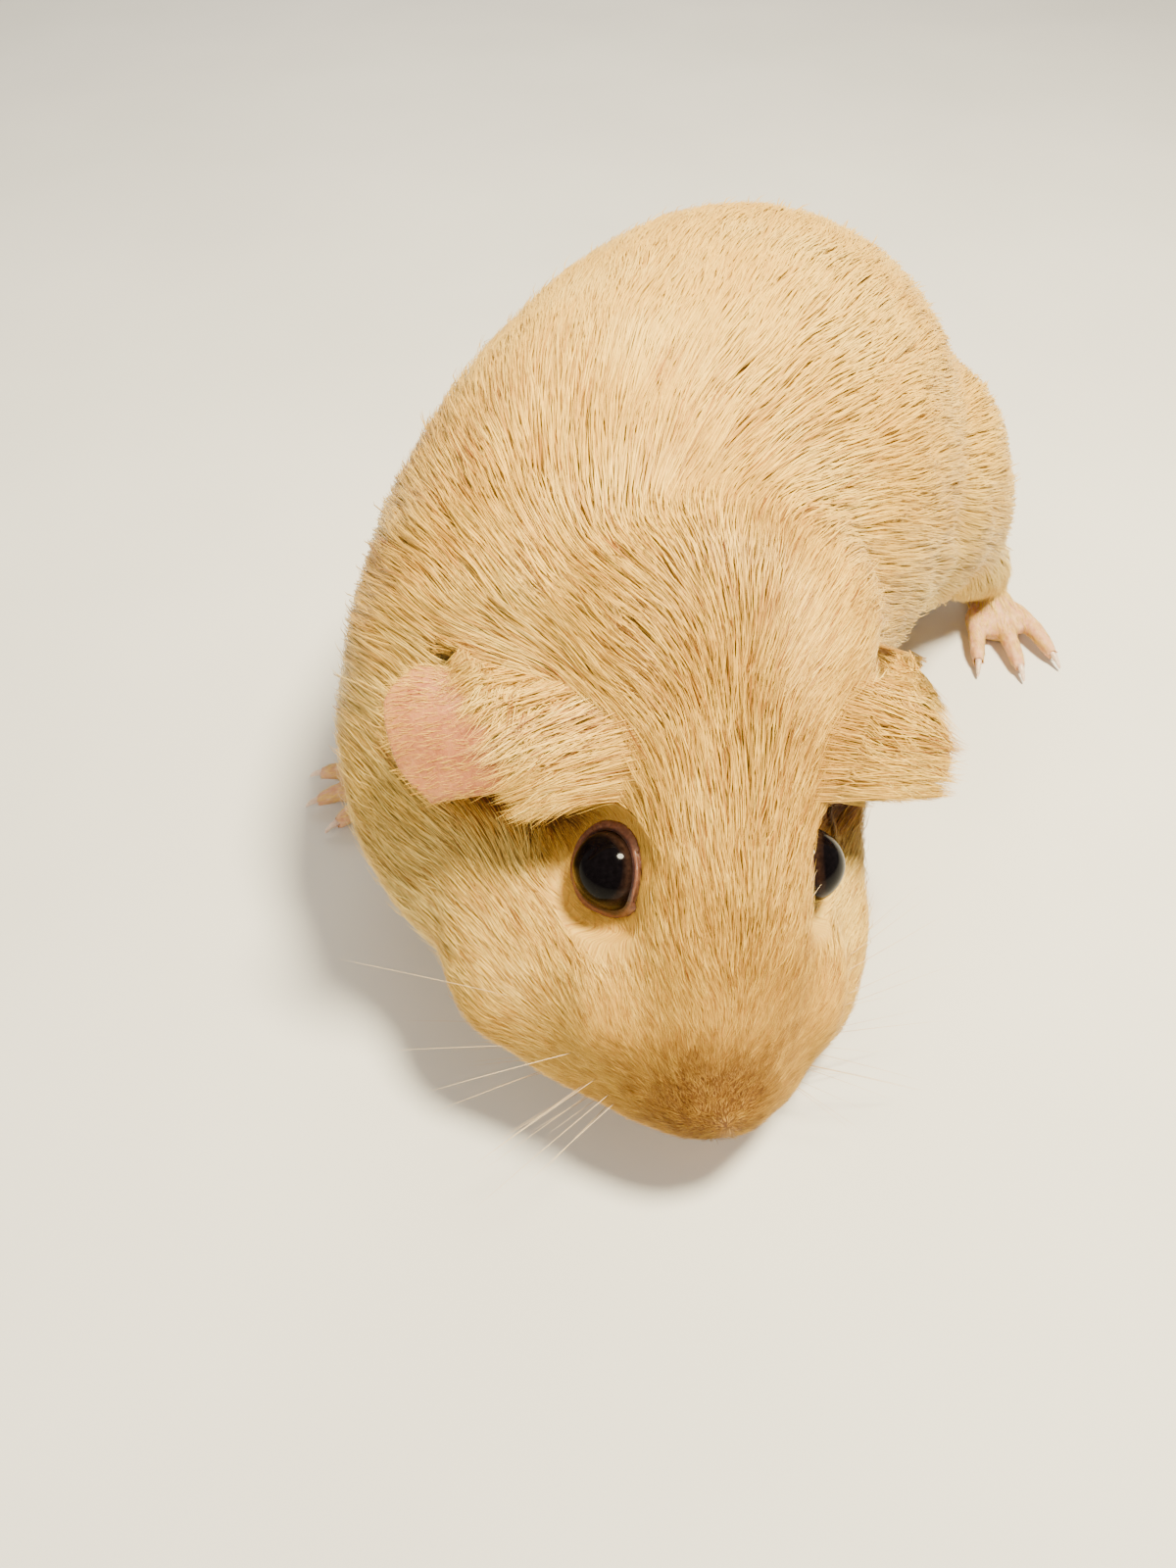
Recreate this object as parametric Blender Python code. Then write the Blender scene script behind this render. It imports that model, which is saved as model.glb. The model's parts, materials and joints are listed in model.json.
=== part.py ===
"""A smooth-haired guinea pig, life size, standing still with its head low and turned a little.

The animal faces -Y, its own left is +X, and it stands on the floor at z = 0. The tables hold
millimetres, and MM turns them into metres as each mesh is made. The head's tables are in a frame
of the head's own: its origin lies between the eyes, +Y runs back along the skull and +Z up
through it. Headings are degrees from -Y, with +X positive.
"""

import math
from typing import NamedTuple

import bmesh
import bpy
from mathutils import Matrix, Vector
from mathutils.bvhtree import BVHTree

MM = 0.001
GAP = 0.3
BODY_VOXEL = 1.7
FOOT_VOXEL = 0.8
HEAD_FACES = 9500
BODY_FACES = 4000
FOOT_FACES = 380
WORLD_REACH = 400


class Finish(NamedTuple):
    """The colour and roughness of one kind of surface."""

    color: tuple
    roughness: float


FUR = Finish((0.80, 0.60, 0.33), 0.75)
PINK = Finish((0.80, 0.52, 0.42), 0.6)
HORN = Finish((0.85, 0.72, 0.60), 0.35)
EYE = Finish((0.03, 0.012, 0.008), 0.06)


class Station(NamedTuple):
    """One cross-section of a swept form: where its widest level lies and how far it reaches."""

    side: float
    along: float
    level: float
    half_width: float
    up: float
    down: float


class Joint(NamedTuple):
    """One point of a round tube, and its radius there."""

    side: float
    along: float
    level: float
    radius: float


class Foot(NamedTuple):
    """A foot: where its ankle stands, where it points, and the fan and reach of its toes."""

    ankle: tuple
    heading: float
    palm: float
    half_width: float
    toes: int
    spacing: float
    fan: float
    reach: float
    claw: float


# The trunk, from the tail end to the breast.
TRUNK = (
    Station(19.5, 114, 36, 4, 5, 5),
    Station(19.5, 111, 37, 17, 15.5, 15),
    Station(19.5, 104, 40, 29.5, 26, 25),
    Station(16.2, 90, 42, 41.5, 37.5, 33.5),
    Station(10.7, 63, 44, 50, 49, 38),
    Station(4.8, 32, 45, 53.4, 56, 40.3),
    Station(-7.6, 2, 46, 49.6, 54, 40.5),
    Station(-12.1, -24, 46, 47.4, 45, 39.5),
    Station(-11.5, -44, 38, 46, 30, 30),
    Station(-8, -60, 31, 38, 16, 20.5),
    Station(-4, -72, 28, 26, 10, 12),
    Station(-3, -79, 27, 10, 4, 5),
)
HEAD_CENTRE = Vector((11.5, -70, 45.6))
HEAD_TURN = (
    Matrix.Rotation(math.radians(9.6), 3, "Z")
    @ Matrix.Rotation(math.radians(32.6), 3, "X")
    @ Matrix.Rotation(math.radians(13.8), 3, "Y")
)
# The skull and nape in the head's frame, from inside the withers to the nose.
SKULL = (
    Station(0, 62, -14, 27, 20, 24),
    Station(0, 48, -10, 35, 28, 30),
    Station(0, 33, -6, 32, 25, 28),
    Station(0, 20, -3, 26, 20, 24),
    Station(0, 9, -1, 19.5, 16, 20),
    Station(0, 0, -1, 16, 14.2, 18),
    Station(0, -11, -3, 16.5, 13.5, 16),
    Station(0, -21, -5.5, 16, 12, 14),
    Station(0, -30, -8.5, 14.8, 10, 12.5),
    Station(0, -37, -10, 12.2, 8.2, 11),
    Station(0, -41, -11, 7.5, 5.2, 8),
)
JOWLS = (
    Station(-2, 46, -18, 34.5, 18, 20),
    Station(-2, 36, -18, 39.3, 21, 22),
    Station(-2.5, 24, -19, 40, 21, 21),
    Station(-3.4, 10, -20, 40.2, 19, 18),
    Station(-3, -2, -21, 40.1, 17, 14.5),
    Station(-1.6, -13, -20.5, 39.2, 15, 10.5),
    Station(-0.5, -22, -19, 35.2, 12.5, 8.5),
    Station(-0.3, -29, -17.5, 28.5, 10, 6.5),
    Station(-0.2, -34, -15.5, 19.5, 7.5, 4.5),
    Station(0, -36.5, -13.5, 5, 2, 2),
)

# Balls fused into the trunk and into the head: the centre and radii of each.
TRUNK_BALLS = (
    ((49, 47, 40), (22, 30, 29)),
    ((-35, 47, 41), (20.5, 33, 31)),
    ((-42, -31, 36), (18.5, 25, 25)),
    ((25, -32, 34), (14, 22, 22)),
)
CHIN = ((0, -28, -21), (9, 10, 6.5))
WHISKER_PAD = ((9, -31, -12), (9.5, 8.5, 8))
MUZZLE_SIDE = ((17, -16.5, -9), (9.2, 14.5, 9.5))
LIDS_RADII = (8.3, 9.1, 8.4)
HIND_LEFT_LEG = (
    Joint(56, 47.5, 37, 19.5),
    Joint(63.5, 49.5, 23, 13.5),
    Joint(71.5, 54.5, 13, 9),
    Joint(75.5, 57.5, 5, 6.2),
)
HIND_RIGHT_LEG = (
    Joint(-37, 45, 36, 16),
    Joint(-42, 49, 23, 13),
    Joint(-45.5, 53, 13, 9),
    Joint(-46, 54.5, 5, 6.2),
)
FORE_RIGHT_LEG = (
    Joint(-40, -30, 34, 14),
    Joint(-48, -27, 22, 11),
    Joint(-54, -23.5, 12.5, 7.5),
    Joint(-55.5, -22, 5, 5.6),
)
FORE_LEFT_LEG = (
    Joint(23, -27, 34, 12),
    Joint(27, -29, 22, 10),
    Joint(30, -31, 12.5, 7.2),
    Joint(31, -32, 5, 5.4),
)

ANKLE_LEVEL = 9.0
FEET = {
    "hindfoot_left": Foot((76, 58), 14.5, 13, 7.6, 3, 6.2, 15, 13.5, 4),
    "hindfoot_right": Foot((-46, 55), -8, 13, 7.6, 3, 5.2, 9, 13.5, 4),
    "forefoot_right": Foot((-56, -21.5), -80, 9.5, 7.8, 4, 4.9, 18, 9, 3.5),
    "forefoot_left": Foot((31, -32), 8, 8, 6.6, 4, 3.9, 9, 8.5, 3.5),
}
# Balls of every foot, ahead of its ankle: how far ahead, the centre's level, and the radii.
FOOT_BALLS = ((0, 6, (5, 5.6, 8)), (-3, 4, (4.6, 5, 5)))
# The arch, with its place and length as parts of the palm's distance, and the ball of the palm.
ARCH_PLACE, ARCH_LENGTH, ARCH_LEVEL = 0.45, 0.6, 4
ARCH_WIDTH, ARCH_HEIGHT = 5.4, 4.8
PALM_BACK, PALM_LEVEL = 2, 3
PALM_LENGTH, PALM_HEIGHT = 6, 4
# A toe's places along its reach, with their levels and radii, and the pad under its tip.
TOE_ROUTE = ((-0.35, 3.6, 2.6), (0.3, 4.1, 2.3), (0.7, 3.3, 2.1), (1, 2.5, 1.7))
TOE_PAD = (1.75, 1.75, 1.9)
TOE_PAD_LEVEL = 2.4
# How far the outer toes start behind the middle ones, and how much shorter they are.
TOE_STEP = 0.9
TOE_TAPER = 0.12
# A claw's places from the tip of its toe, with their levels and radii, before its point.
CLAW_ROUTE = ((-1.4, 2.9, 0.95), (0.6, 2.7, 0.85), (2.4, 2.0, 0.6))
CLAW_POINT = (0.95, 0.25)
# Where each limb is parted from the trunk: the centre and radii of an egg around it.
LIMBS = {
    "hindleg_left": ((61, 42, 30), (26, 33, 37), HIND_LEFT_LEG),
    "hindleg_right": ((-50, 45, 30), (22, 33, 37), HIND_RIGHT_LEG),
    "foreleg_right": ((-52, -26, 22), (17, 17, 33), FORE_RIGHT_LEG),
    "foreleg_left": ((33, -28, 20), (16, 15, 31), FORE_LEFT_LEG),
}
COLLAR_POINT = Vector((0, 39.5, 2))
COLLAR_LEAN = math.radians(36)
SHOULDER_POINT = Vector((0, -21, 50))
SHOULDER_LEAN = math.radians(17)

EYE_RADIUS = 6.5
EYE_CENTRE = Vector((16.2, 1.6, -3.1))
EYE_TILT = math.radians(57)
LID_LONG = math.radians(69)
LID_SHORT = math.radians(65)
LID_CORNER = math.radians(17)
LID_RADIUS = 0.8
LID_LIFT = 0.9
LID_OVERLAP = math.radians(4)
# How far from the eye's centre the lids' opening starts, stops flaring and ends.
LID_CLEARING = (4.5, 11, 12)

# Each nostril as seen from inside the nose: how far aside and up for each mm ahead, and its radius.
NOSE_CENTRE = (0, -28, -11)
NOSTRIL = ((0.12, -0.02, 0.8), (0.19, 0.02, 1.15), (0.28, 0.08, 0.9), (0.37, 0.15, 0.4))
# The mouth as seen from inside: its half turn in degrees, and how far its line lies down and ahead.
MOUTH_CENTRE = (0, -25, -13)
MOUTH_TURN = 54
MOUTH_STEP = 9
MOUTH_DROP = 0.75
MOUTH_AHEAD = 0.8
MOUTH_RADII = (0.85, 0.42)
CLEFT_RADIUS = 0.5
CLEFT_POINTS = 7

EAR_THICK = 1.2
EAR_RIM = 0.55
EAR_ARCH = 2.4
EAR_HOLLOW = 3.4
# The ears in the head's frame, as if both were on the left: their root and each rim, front to rear.
EAR_ROOT = ((23.4, 14.4, 3.2), (26, 20, 5.2), (30.5, 26.5, 3), (36, 30.5, -1.3))
EAR_BASE = (
    Joint(21.5, 12.5, -3.5, 4.5),
    Joint(24.8, 20, -0.8, 5.8),
    Joint(29.3, 27, -2.2, 5.8),
    Joint(34.5, 33, -6.5, 5.2),
)
EAR_CUP = ((32, 19.5, -0.5), (5, 6.5, 4))
# The part of the ear's length that is sunk in the head, and how far it bends down there.
EAR_SINK = 0.22
EAR_BEND = 5
# The part of the ear's length by which its slot is wider.
EAR_SLACK = 0.014
EAR_COLUMNS = 9
EAR_ROWS = 8
EAR_TIPS = {
    -1: ((44.9, 12.1, -2.3), (50, 18, -3.8), (51.8, 27.4, -2.6), (46.5, 33, 0.2)),
    1: ((44.1, 16.5, -3.5), (46.8, 21.4, -7.7), (45.4, 28.2, -9), (40.8, 33.2, -6.6)),
}


def head_place(point):
    """A point of the head's own frame, set in the body's frame."""
    return HEAD_CENTRE + HEAD_TURN @ Vector(point)


def head_way(way):
    """A direction of the head's own frame, set in the body's frame."""
    return HEAD_TURN @ Vector(way)


def body_place(point):
    """A point of the body's frame, as it is."""
    return Vector(point)


def mirrored(point, side):
    """A point given for the left side, on that side (1) or on the right (-1)."""
    return (side * point[0], point[1], point[2])


def share(value):
    """A value held between nothing and the whole."""
    return min(max(value, 0), 1)


def bearing(heading):
    """The level direction with this heading."""
    angle = math.radians(heading)
    return Vector((math.sin(angle), -math.cos(angle), 0))


def spline(values, t):
    """A smooth curve through values, where t counts them from 0."""
    last = len(values) - 1
    i = min(int(t), last - 1)
    u = t - i
    a, b, c, d = (values[min(max(i + k, 0), last)] for k in (-1, 0, 1, 2))
    bend = (2 * a - 5 * b + 4 * c - d) * u**2 + (3 * b - 3 * c + d - a) * u**3
    return 0.5 * (2 * b + (c - a) * u + bend)


def spline_row(rows, t):
    """A smooth curve through rows of values, where t counts them from 0."""
    return [spline(column, t) for column in zip(*rows)]


def made(name, mesh):
    """A scene object from a bmesh in millimetres, with its faces pointing out."""
    bmesh.ops.recalc_face_normals(mesh, faces=mesh.faces)
    bmesh.ops.scale(mesh, vec=(MM, MM, MM), verts=mesh.verts)
    data = bpy.data.meshes.new(name)
    mesh.to_mesh(data)
    mesh.free()
    thing = bpy.data.objects.new(name, data)
    bpy.context.scene.collection.objects.link(thing)
    return thing


def skinned(name, rings):
    """A closed form over rings of points, which all have the same count."""
    mesh = bmesh.new()
    loops = [[mesh.verts.new(point) for point in ring] for ring in rings]
    count = len(loops[0])
    for one, two in zip(loops, loops[1:]):
        for j in range(count):
            k = (j + 1) % count
            mesh.faces.new((one[j], one[k], two[k], two[j]))
    mesh.faces.new(loops[0])
    mesh.faces.new(loops[-1])
    return made(name, mesh)


def sweep(name, stations, place=body_place, per_span=3, around=28):
    """A closed form swept through its stations, with oval cross-sections."""
    steps = [k / per_span for k in range((len(stations) - 1) * per_span + 1)]
    rows = [Station(*spline_row(stations, t)) for t in steps]
    path = [place(row[:3]) for row in rows]
    hint = place((0, 0, 1)) - place((0, 0, 0))
    rings = []
    for k, row in enumerate(rows):
        ahead = (path[min(k + 1, len(path) - 1)] - path[max(k - 1, 0)]).normalized()
        across = ahead.cross(hint).normalized()
        above = across.cross(ahead)
        ring = []
        for j in range(around):
            turn = math.tau * j / around
            rise = math.sin(turn)
            reach = row.up if rise > 0 else row.down
            ring.append(path[k] + across * row.half_width * math.cos(turn) + above * rise * reach)
        rings.append(ring)
    return skinned(name, rings)


def tube(name, joints, place=body_place, per_span=4, around=10):
    """A closed round tube through its joints, which swells and thins with their radii."""
    steps = [k / per_span for k in range((len(joints) - 1) * per_span + 1)]
    rows = [Joint(*spline_row(joints, t)) for t in steps]
    path = [place(row[:3]) for row in rows]
    way = path[-1] - path[0]
    hint = way.cross(Vector((0.3, 0.2, 1))).normalized()
    turns = [math.tau * j / around for j in range(around)]
    rings = []
    for k, row in enumerate(rows):
        ahead = (path[min(k + 1, len(path) - 1)] - path[max(k - 1, 0)]).normalized()
        across = (hint - ahead * hint.dot(ahead)).normalized()
        above = across.cross(ahead)
        ways = [across * math.cos(turn) + above * math.sin(turn) for turn in turns]
        rings.append([path[k] + way * row.radius for way in ways])
    return skinned(name, rings)


def ball(name, centre, radii, place=body_place, segments=24):
    """A ball stretched to three radii."""
    mesh = bmesh.new()
    bmesh.ops.create_uvsphere(mesh, u_segments=segments, v_segments=segments // 2, radius=1)
    bmesh.ops.scale(mesh, vec=radii, verts=mesh.verts)
    for vert in mesh.verts:
        vert.co = place(vert.co + Vector(centre))
    return made(name, mesh)


def beyond(name, point, way):
    """A block that fills all the space beyond a plane, for cutting."""
    mesh = bmesh.new()
    bmesh.ops.create_cube(mesh, size=WORLD_REACH)
    lift = Matrix.Translation(Vector((0, 0, WORLD_REACH / 2)))
    turn = Vector(way).to_track_quat("Z", "Y").to_matrix().to_4x4()
    bmesh.ops.transform(mesh, matrix=Matrix.Translation(point) @ turn @ lift, verts=mesh.verts)
    return made(name, mesh)


def twin(thing, name):
    """A copy of an object with a mesh of its own."""
    copy = bpy.data.objects.new(name, thing.data.copy())
    bpy.context.scene.collection.objects.link(copy)
    return copy


def apply_modifiers(thing):
    """The object, its mesh now as its modifiers leave it."""
    graph = bpy.context.evaluated_depsgraph_get()
    data = bpy.data.meshes.new_from_object(thing.evaluated_get(graph))
    thing.modifiers.clear()
    thing.data = data
    return thing


def keep_largest(thing):
    """The object with only its largest closed surface."""
    mesh = bmesh.new()
    mesh.from_mesh(thing.data)
    mesh.faces.ensure_lookup_table()
    left = set(mesh.faces)
    shells = []
    while left:
        shell = {left.pop()}
        edge_of = list(shell)
        while edge_of:
            face = edge_of.pop()
            near = {other for edge in face.edges for other in edge.link_faces} & left
            left -= near
            shell |= near
            edge_of.extend(near)
        shells.append(shell)
    shells.sort(key=lambda shell: sum(face.calc_area() for face in shell))
    for shell in shells[:-1]:
        bmesh.ops.delete(mesh, geom=list(shell), context="FACES")
    mesh.to_mesh(thing.data)
    mesh.free()
    return thing


def boolean(thing, others, operation, solver="EXACT"):
    """The object joined to the others, or cut by them. The others are then removed."""
    tools = bpy.data.collections.new("tools")
    bpy.context.scene.collection.children.link(tools)
    for other in others:
        tools.objects.link(other)
    step = thing.modifiers.new("boolean", "BOOLEAN")
    step.operation = operation
    step.operand_type = "COLLECTION"
    step.collection = tools
    step.solver = solver
    apply_modifiers(thing)
    for other in others:
        bpy.data.objects.remove(other)
    bpy.data.collections.remove(tools)
    return keep_largest(thing)


def cut(thing, *others):
    """The object less the others."""
    return boolean(thing, others, "DIFFERENCE")


def fused(name, things, voxel, rounds):
    """One soft body from overlapping ones: their union, with its creases smoothed."""
    mesh = bmesh.new()
    for thing in things:
        mesh.from_mesh(thing.data)
        bpy.data.objects.remove(thing)
    data = bpy.data.meshes.new(name)
    mesh.to_mesh(data)
    mesh.free()
    whole = bpy.data.objects.new(name, data)
    bpy.context.scene.collection.objects.link(whole)
    remesh = whole.modifiers.new("union", "REMESH")
    remesh.mode = "VOXEL"
    remesh.voxel_size = voxel * MM
    soften = whole.modifiers.new("soften", "SMOOTH")
    soften.factor = 0.5
    soften.iterations = rounds
    return apply_modifiers(whole)


def thinned(thing, faces):
    """The same shape with about this many triangles."""
    thing.data.calc_loop_triangles()
    thin = thing.modifiers.new("thin", "DECIMATE")
    thin.ratio = min(1, faces / len(thing.data.loop_triangles))
    thin.use_collapse_triangulate = True
    return apply_modifiers(thing)


def dressed(thing, finish):
    """The object with a material of its own, shaded smooth."""
    material = bpy.data.materials.new(f"{thing.name}_finish")
    material.use_nodes = True
    shader = material.node_tree.nodes["Principled BSDF"]
    shader.inputs["Base Color"].default_value = (*finish.color, 1)
    shader.inputs["Roughness"].default_value = finish.roughness
    shader.inputs["Metallic"].default_value = 0
    thing.data.materials.clear()
    thing.data.materials.append(material)
    thing.data.shade_smooth()
    return thing


def whole_body():
    """Head, trunk and legs in one soft piece, before it is parted."""
    forms = [
        sweep("trunk", TRUNK),
        sweep("skull", SKULL, head_place),
        sweep("jowls", JOWLS, head_place),
        ball("chin", *CHIN, head_place),
    ]
    forms.extend(ball("muscle", centre, radii) for centre, radii in TRUNK_BALLS)
    for side in (-1, 1):
        forms.append(ball("lids", mirrored(EYE_CENTRE, side), LIDS_RADII, head_place))
        for centre, radii in (WHISKER_PAD, MUZZLE_SIDE):
            forms.append(ball("pad", mirrored(centre, side), radii, head_place))
        base = [joint._replace(side=side * joint.side) for joint in EAR_BASE]
        forms.append(tube("ear_base", base, head_place))
    for _, _, leg in LIMBS.values():
        forms.append(tube("leg", leg))
    return fused("whole", forms, BODY_VOXEL, 6)


def eye_frame(side):
    """The eye's centre and its outward, forward and upward directions, in the body's frame."""
    outward = head_way((side * math.sin(EYE_TILT), 0, math.cos(EYE_TILT)))
    forward = head_way((0, -1, 0))
    upward = head_way((-side * math.cos(EYE_TILT), 0, math.sin(EYE_TILT)))
    return head_place(mirrored(EYE_CENTRE, side)), outward, forward, upward


def lid_loop(side, distance, widen=0.0, count=20):
    """The edge of the lids, an almond with its corner to the nose, at a distance from the centre."""
    centre, outward, forward, upward = eye_frame(side)
    points = []
    for k in range(count):
        turn = math.tau * k / count
        ahead, above = math.cos(turn), math.sin(turn)
        angle = math.hypot(LID_LONG * ahead, LID_SHORT * above) + LID_CORNER * max(0, ahead) ** 4 + widen
        rim = forward * ahead + upward * above
        points.append(centre + (outward * math.cos(angle) + rim * math.sin(angle)) * distance)
    return points


def lid_opening(side):
    """The space that the open lids leave, for cutting."""
    outward = eye_frame(side)[1]
    start, flare, reach = LID_CLEARING
    rings = [lid_loop(side, start), lid_loop(side, flare)]
    rings.append([point + outward * reach for point in rings[-1]])
    return skinned("opening", rings)


def lid_ring(side, around=6):
    """The thickened rim of both lids, a closed ring around the eye."""
    loop = lid_loop(side, EYE_RADIUS + LID_LIFT, widen=LID_OVERLAP)
    centre = eye_frame(side)[0]
    count = len(loop)
    turns = [math.tau * j / around for j in range(around)]
    mesh = bmesh.new()
    rings = []
    for k, point in enumerate(loop):
        ahead = (loop[(k + 1) % count] - loop[k - 1]).normalized()
        out = (point - centre).normalized()
        aside = ahead.cross(out).normalized()
        ways = [out * math.cos(turn) + aside * math.sin(turn) for turn in turns]
        rings.append([mesh.verts.new(point + way * LID_RADIUS) for way in ways])
    for k in range(count):
        one, two = rings[k], rings[(k + 1) % count]
        for j in range(around):
            n = (j + 1) % around
            mesh.faces.new((one[j], one[n], two[n], two[j]))
    return made("lid_ring", mesh)


def surface_from(tree, inside, way):
    """Where a line from a point inside the head leaves it, both in the head's frame."""
    start = head_place(inside) * MM
    place = tree.ray_cast(start, head_way(way).normalized())[0]
    return HEAD_TURN.inverted() @ (place / MM - HEAD_CENTRE)


def nose_and_mouth(head):
    """The nostrils, the line of the mouth and the cleft of the upper lip, as grooves for cutting."""
    tree = BVHTree.FromObject(head, bpy.context.evaluated_depsgraph_get())
    grooves = []
    for side in (-1, 1):
        comma = []
        for aside, rise, radius in NOSTRIL:
            spot = surface_from(tree, NOSE_CENTRE, (side * aside, -1, rise))
            comma.append(Joint(*spot, radius))
        grooves.append(tube("nostril", comma, head_place, per_span=1, around=8))
    middle, corner = MOUTH_RADII
    slit = []
    for degrees in range(-MOUTH_TURN, MOUTH_TURN + 1, MOUTH_STEP):
        turn = math.radians(degrees)
        way = (math.sin(turn), -MOUTH_AHEAD * math.cos(turn), -MOUTH_DROP)
        spot = surface_from(tree, MOUTH_CENTRE, way)
        slit.append(Joint(*spot, middle + (corner - middle) * abs(degrees) / MOUTH_TURN))
    cleft = []
    for k in range(CLEFT_POINTS):
        way = (0, -MOUTH_AHEAD, -MOUTH_DROP * k / (CLEFT_POINTS - 1))
        cleft.append(Joint(*surface_from(tree, MOUTH_CENTRE, way), CLEFT_RADIUS))
    for route in (slit, cleft):
        grooves.append(tube("lip", route, head_place, per_span=1, around=8))
    return grooves


def ear_sheet(name, side, thick, margin):
    """One ear: a thin petal with its hollow below and ahead, its root sunk in the head."""
    mesh = bmesh.new()
    layer = mesh.verts.layers.deform.verify()
    edge = Vector(EAR_ROOT[-1]) - Vector(EAR_ROOT[0])
    grid = []
    for i in range(EAR_COLUMNS + 1):
        u = -margin + (1 + 2 * margin) * i / EAR_COLUMNS
        root = Vector(spline_row(EAR_ROOT, 3 * share(u)))
        tip = Vector(spline_row(EAR_TIPS[side], 3 * share(u)))
        line = []
        for j in range(EAR_ROWS + 1):
            v = -EAR_SINK - margin + (1 + EAR_SINK + 2 * margin) * j / EAR_ROWS
            out = share(v)
            spot = root.lerp(tip, v) + edge * (u - share(u))
            spot.z += EAR_ARCH * 4 * out * (1 - out)
            spot.z += EAR_HOLLOW * math.sin(math.pi * share(u)) * out
            spot.z -= EAR_BEND * max(-v, 0) / EAR_SINK
            vert = mesh.verts.new(head_place(mirrored(spot, side)))
            vert[layer][0] = 1 - out
            line.append(vert)
        grid.append(line)
    for one, two in zip(grid, grid[1:]):
        for j in range(EAR_ROWS):
            mesh.faces.new((one[j], one[j + 1], two[j + 1], two[j]))
    bmesh.ops.triangulate(mesh, faces=mesh.faces)
    bmesh.ops.recalc_face_normals(mesh, faces=mesh.faces)
    bmesh.ops.scale(mesh, vec=(MM, MM, MM), verts=mesh.verts)
    data = bpy.data.meshes.new(name)
    mesh.to_mesh(data)
    mesh.free()
    ear = bpy.data.objects.new(name, data)
    bpy.context.scene.collection.objects.link(ear)
    ear.vertex_groups.new(name="thick")
    wall = ear.modifiers.new("wall", "SOLIDIFY")
    wall.thickness = thick * MM
    wall.offset = 0
    wall.vertex_group = "thick"
    wall.thickness_vertex_group = EAR_RIM / EAR_THICK
    apply_modifiers(ear)
    ear.vertex_groups.clear()
    return ear


def toe_ways(foot):
    """For each toe: where it leaves the palm, the direction it points, and how far it reaches."""
    ahead = bearing(foot.heading)
    aside = Vector((-ahead.y, ahead.x, 0))
    palm = Vector((*foot.ankle, 0)) + ahead * foot.palm
    ways = []
    for k in range(foot.toes):
        place = k - (foot.toes - 1) / 2
        root = palm + aside * foot.spacing * place - ahead * TOE_STEP * place**2
        way = bearing(foot.heading + foot.fan * place)
        ways.append((root, way, foot.reach * (1 - TOE_TAPER * place**2)))
    return ways


def claw(name, length, tip, way, grow=0.0):
    """One claw: a short curved horn, its root sunk in the tip of its toe."""
    route = []
    for reach, level, radius in (*CLAW_ROUTE, (length, *CLAW_POINT)):
        spot = tip + way * (reach - (grow if reach < 0 else 0))
        route.append(Joint(spot.x, spot.y, level, radius + grow))
    return tube(name, route, per_span=1, around=7)


def foot_solid(name, foot):
    """One foot: sole, ankle and toes in one piece, flat where it stands and where its leg meets it."""
    ahead = bearing(foot.heading)
    aside = Vector((-ahead.y, ahead.x, 0))

    def place(point):
        return Vector((*foot.ankle, 0)) + aside * point[0] + ahead * point[1] + Vector((0, 0, point[2]))

    arch = (ARCH_WIDTH, foot.palm * ARCH_LENGTH, ARCH_HEIGHT)
    palm = (foot.half_width, PALM_LENGTH, PALM_HEIGHT)
    forms = [
        ball("arch", (0, foot.palm * ARCH_PLACE, ARCH_LEVEL), arch, place),
        ball("palm", (0, foot.palm - PALM_BACK, PALM_LEVEL), palm, place),
    ]
    forms.extend(ball("heel", (0, along, level), radii, place) for along, level, radii in FOOT_BALLS)
    for root, way, length in toe_ways(foot):
        route = []
        for reach, level, radius in TOE_ROUTE:
            spot = root + way * length * reach
            route.append(Joint(spot.x, spot.y, level, radius))
        forms.append(tube("toe", route))
        end = root + way * length
        forms.append(ball("pad", (end.x, end.y, TOE_PAD_LEVEL), TOE_PAD, segments=12))
    solid = thinned(fused(name, forms, FOOT_VOXEL, 2), FOOT_FACES)
    cut(solid, beyond("floor", Vector((0, 0, 0)), (0, 0, -1)))
    cut(solid, beyond("leg", Vector((0, 0, ANKLE_LEVEL - GAP)), (0, 0, 1)))
    return solid


def limb_eggs():
    """The eggs that part every limb from the body, each a gap larger than the limb's own."""
    eggs = []
    for centre, radii, _ in LIMBS.values():
        eggs.append(ball("egg", centre, [radius + GAP for radius in radii], segments=20))
    return eggs


def body_nodes(whole):
    """Head, neck, torso and legs, parted by thin cuts."""
    head = thinned(twin(whole, "head"), HEAD_FACES)
    rest = thinned(whole, BODY_FACES)
    legs = []
    for name, (centre, radii, _) in LIMBS.items():
        leg = boolean(twin(rest, name), [ball("egg", centre, radii, segments=20)], "INTERSECT")
        legs.append(cut(leg, beyond("foot", Vector((0, 0, ANKLE_LEVEL)), (0, 0, -1))))
    collar_way = head_way((0, math.cos(COLLAR_LEAN), -math.sin(COLLAR_LEAN)))
    collar = head_place(COLLAR_POINT)
    cut(head, *limb_eggs())
    cut(head, beyond("rear", collar, collar_way))
    cut(rest, *limb_eggs())
    cut(rest, beyond("front", collar + collar_way * GAP, -collar_way))
    shoulder_way = Vector((0, math.cos(SHOULDER_LEAN), -math.sin(SHOULDER_LEAN)))
    neck = cut(twin(rest, "neck"), beyond("rear", SHOULDER_POINT, shoulder_way))
    torso = cut(rest, beyond("front", SHOULDER_POINT + shoulder_way * GAP, -shoulder_way))
    torso.name = "torso"
    return [head, neck, torso, *legs]


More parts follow.
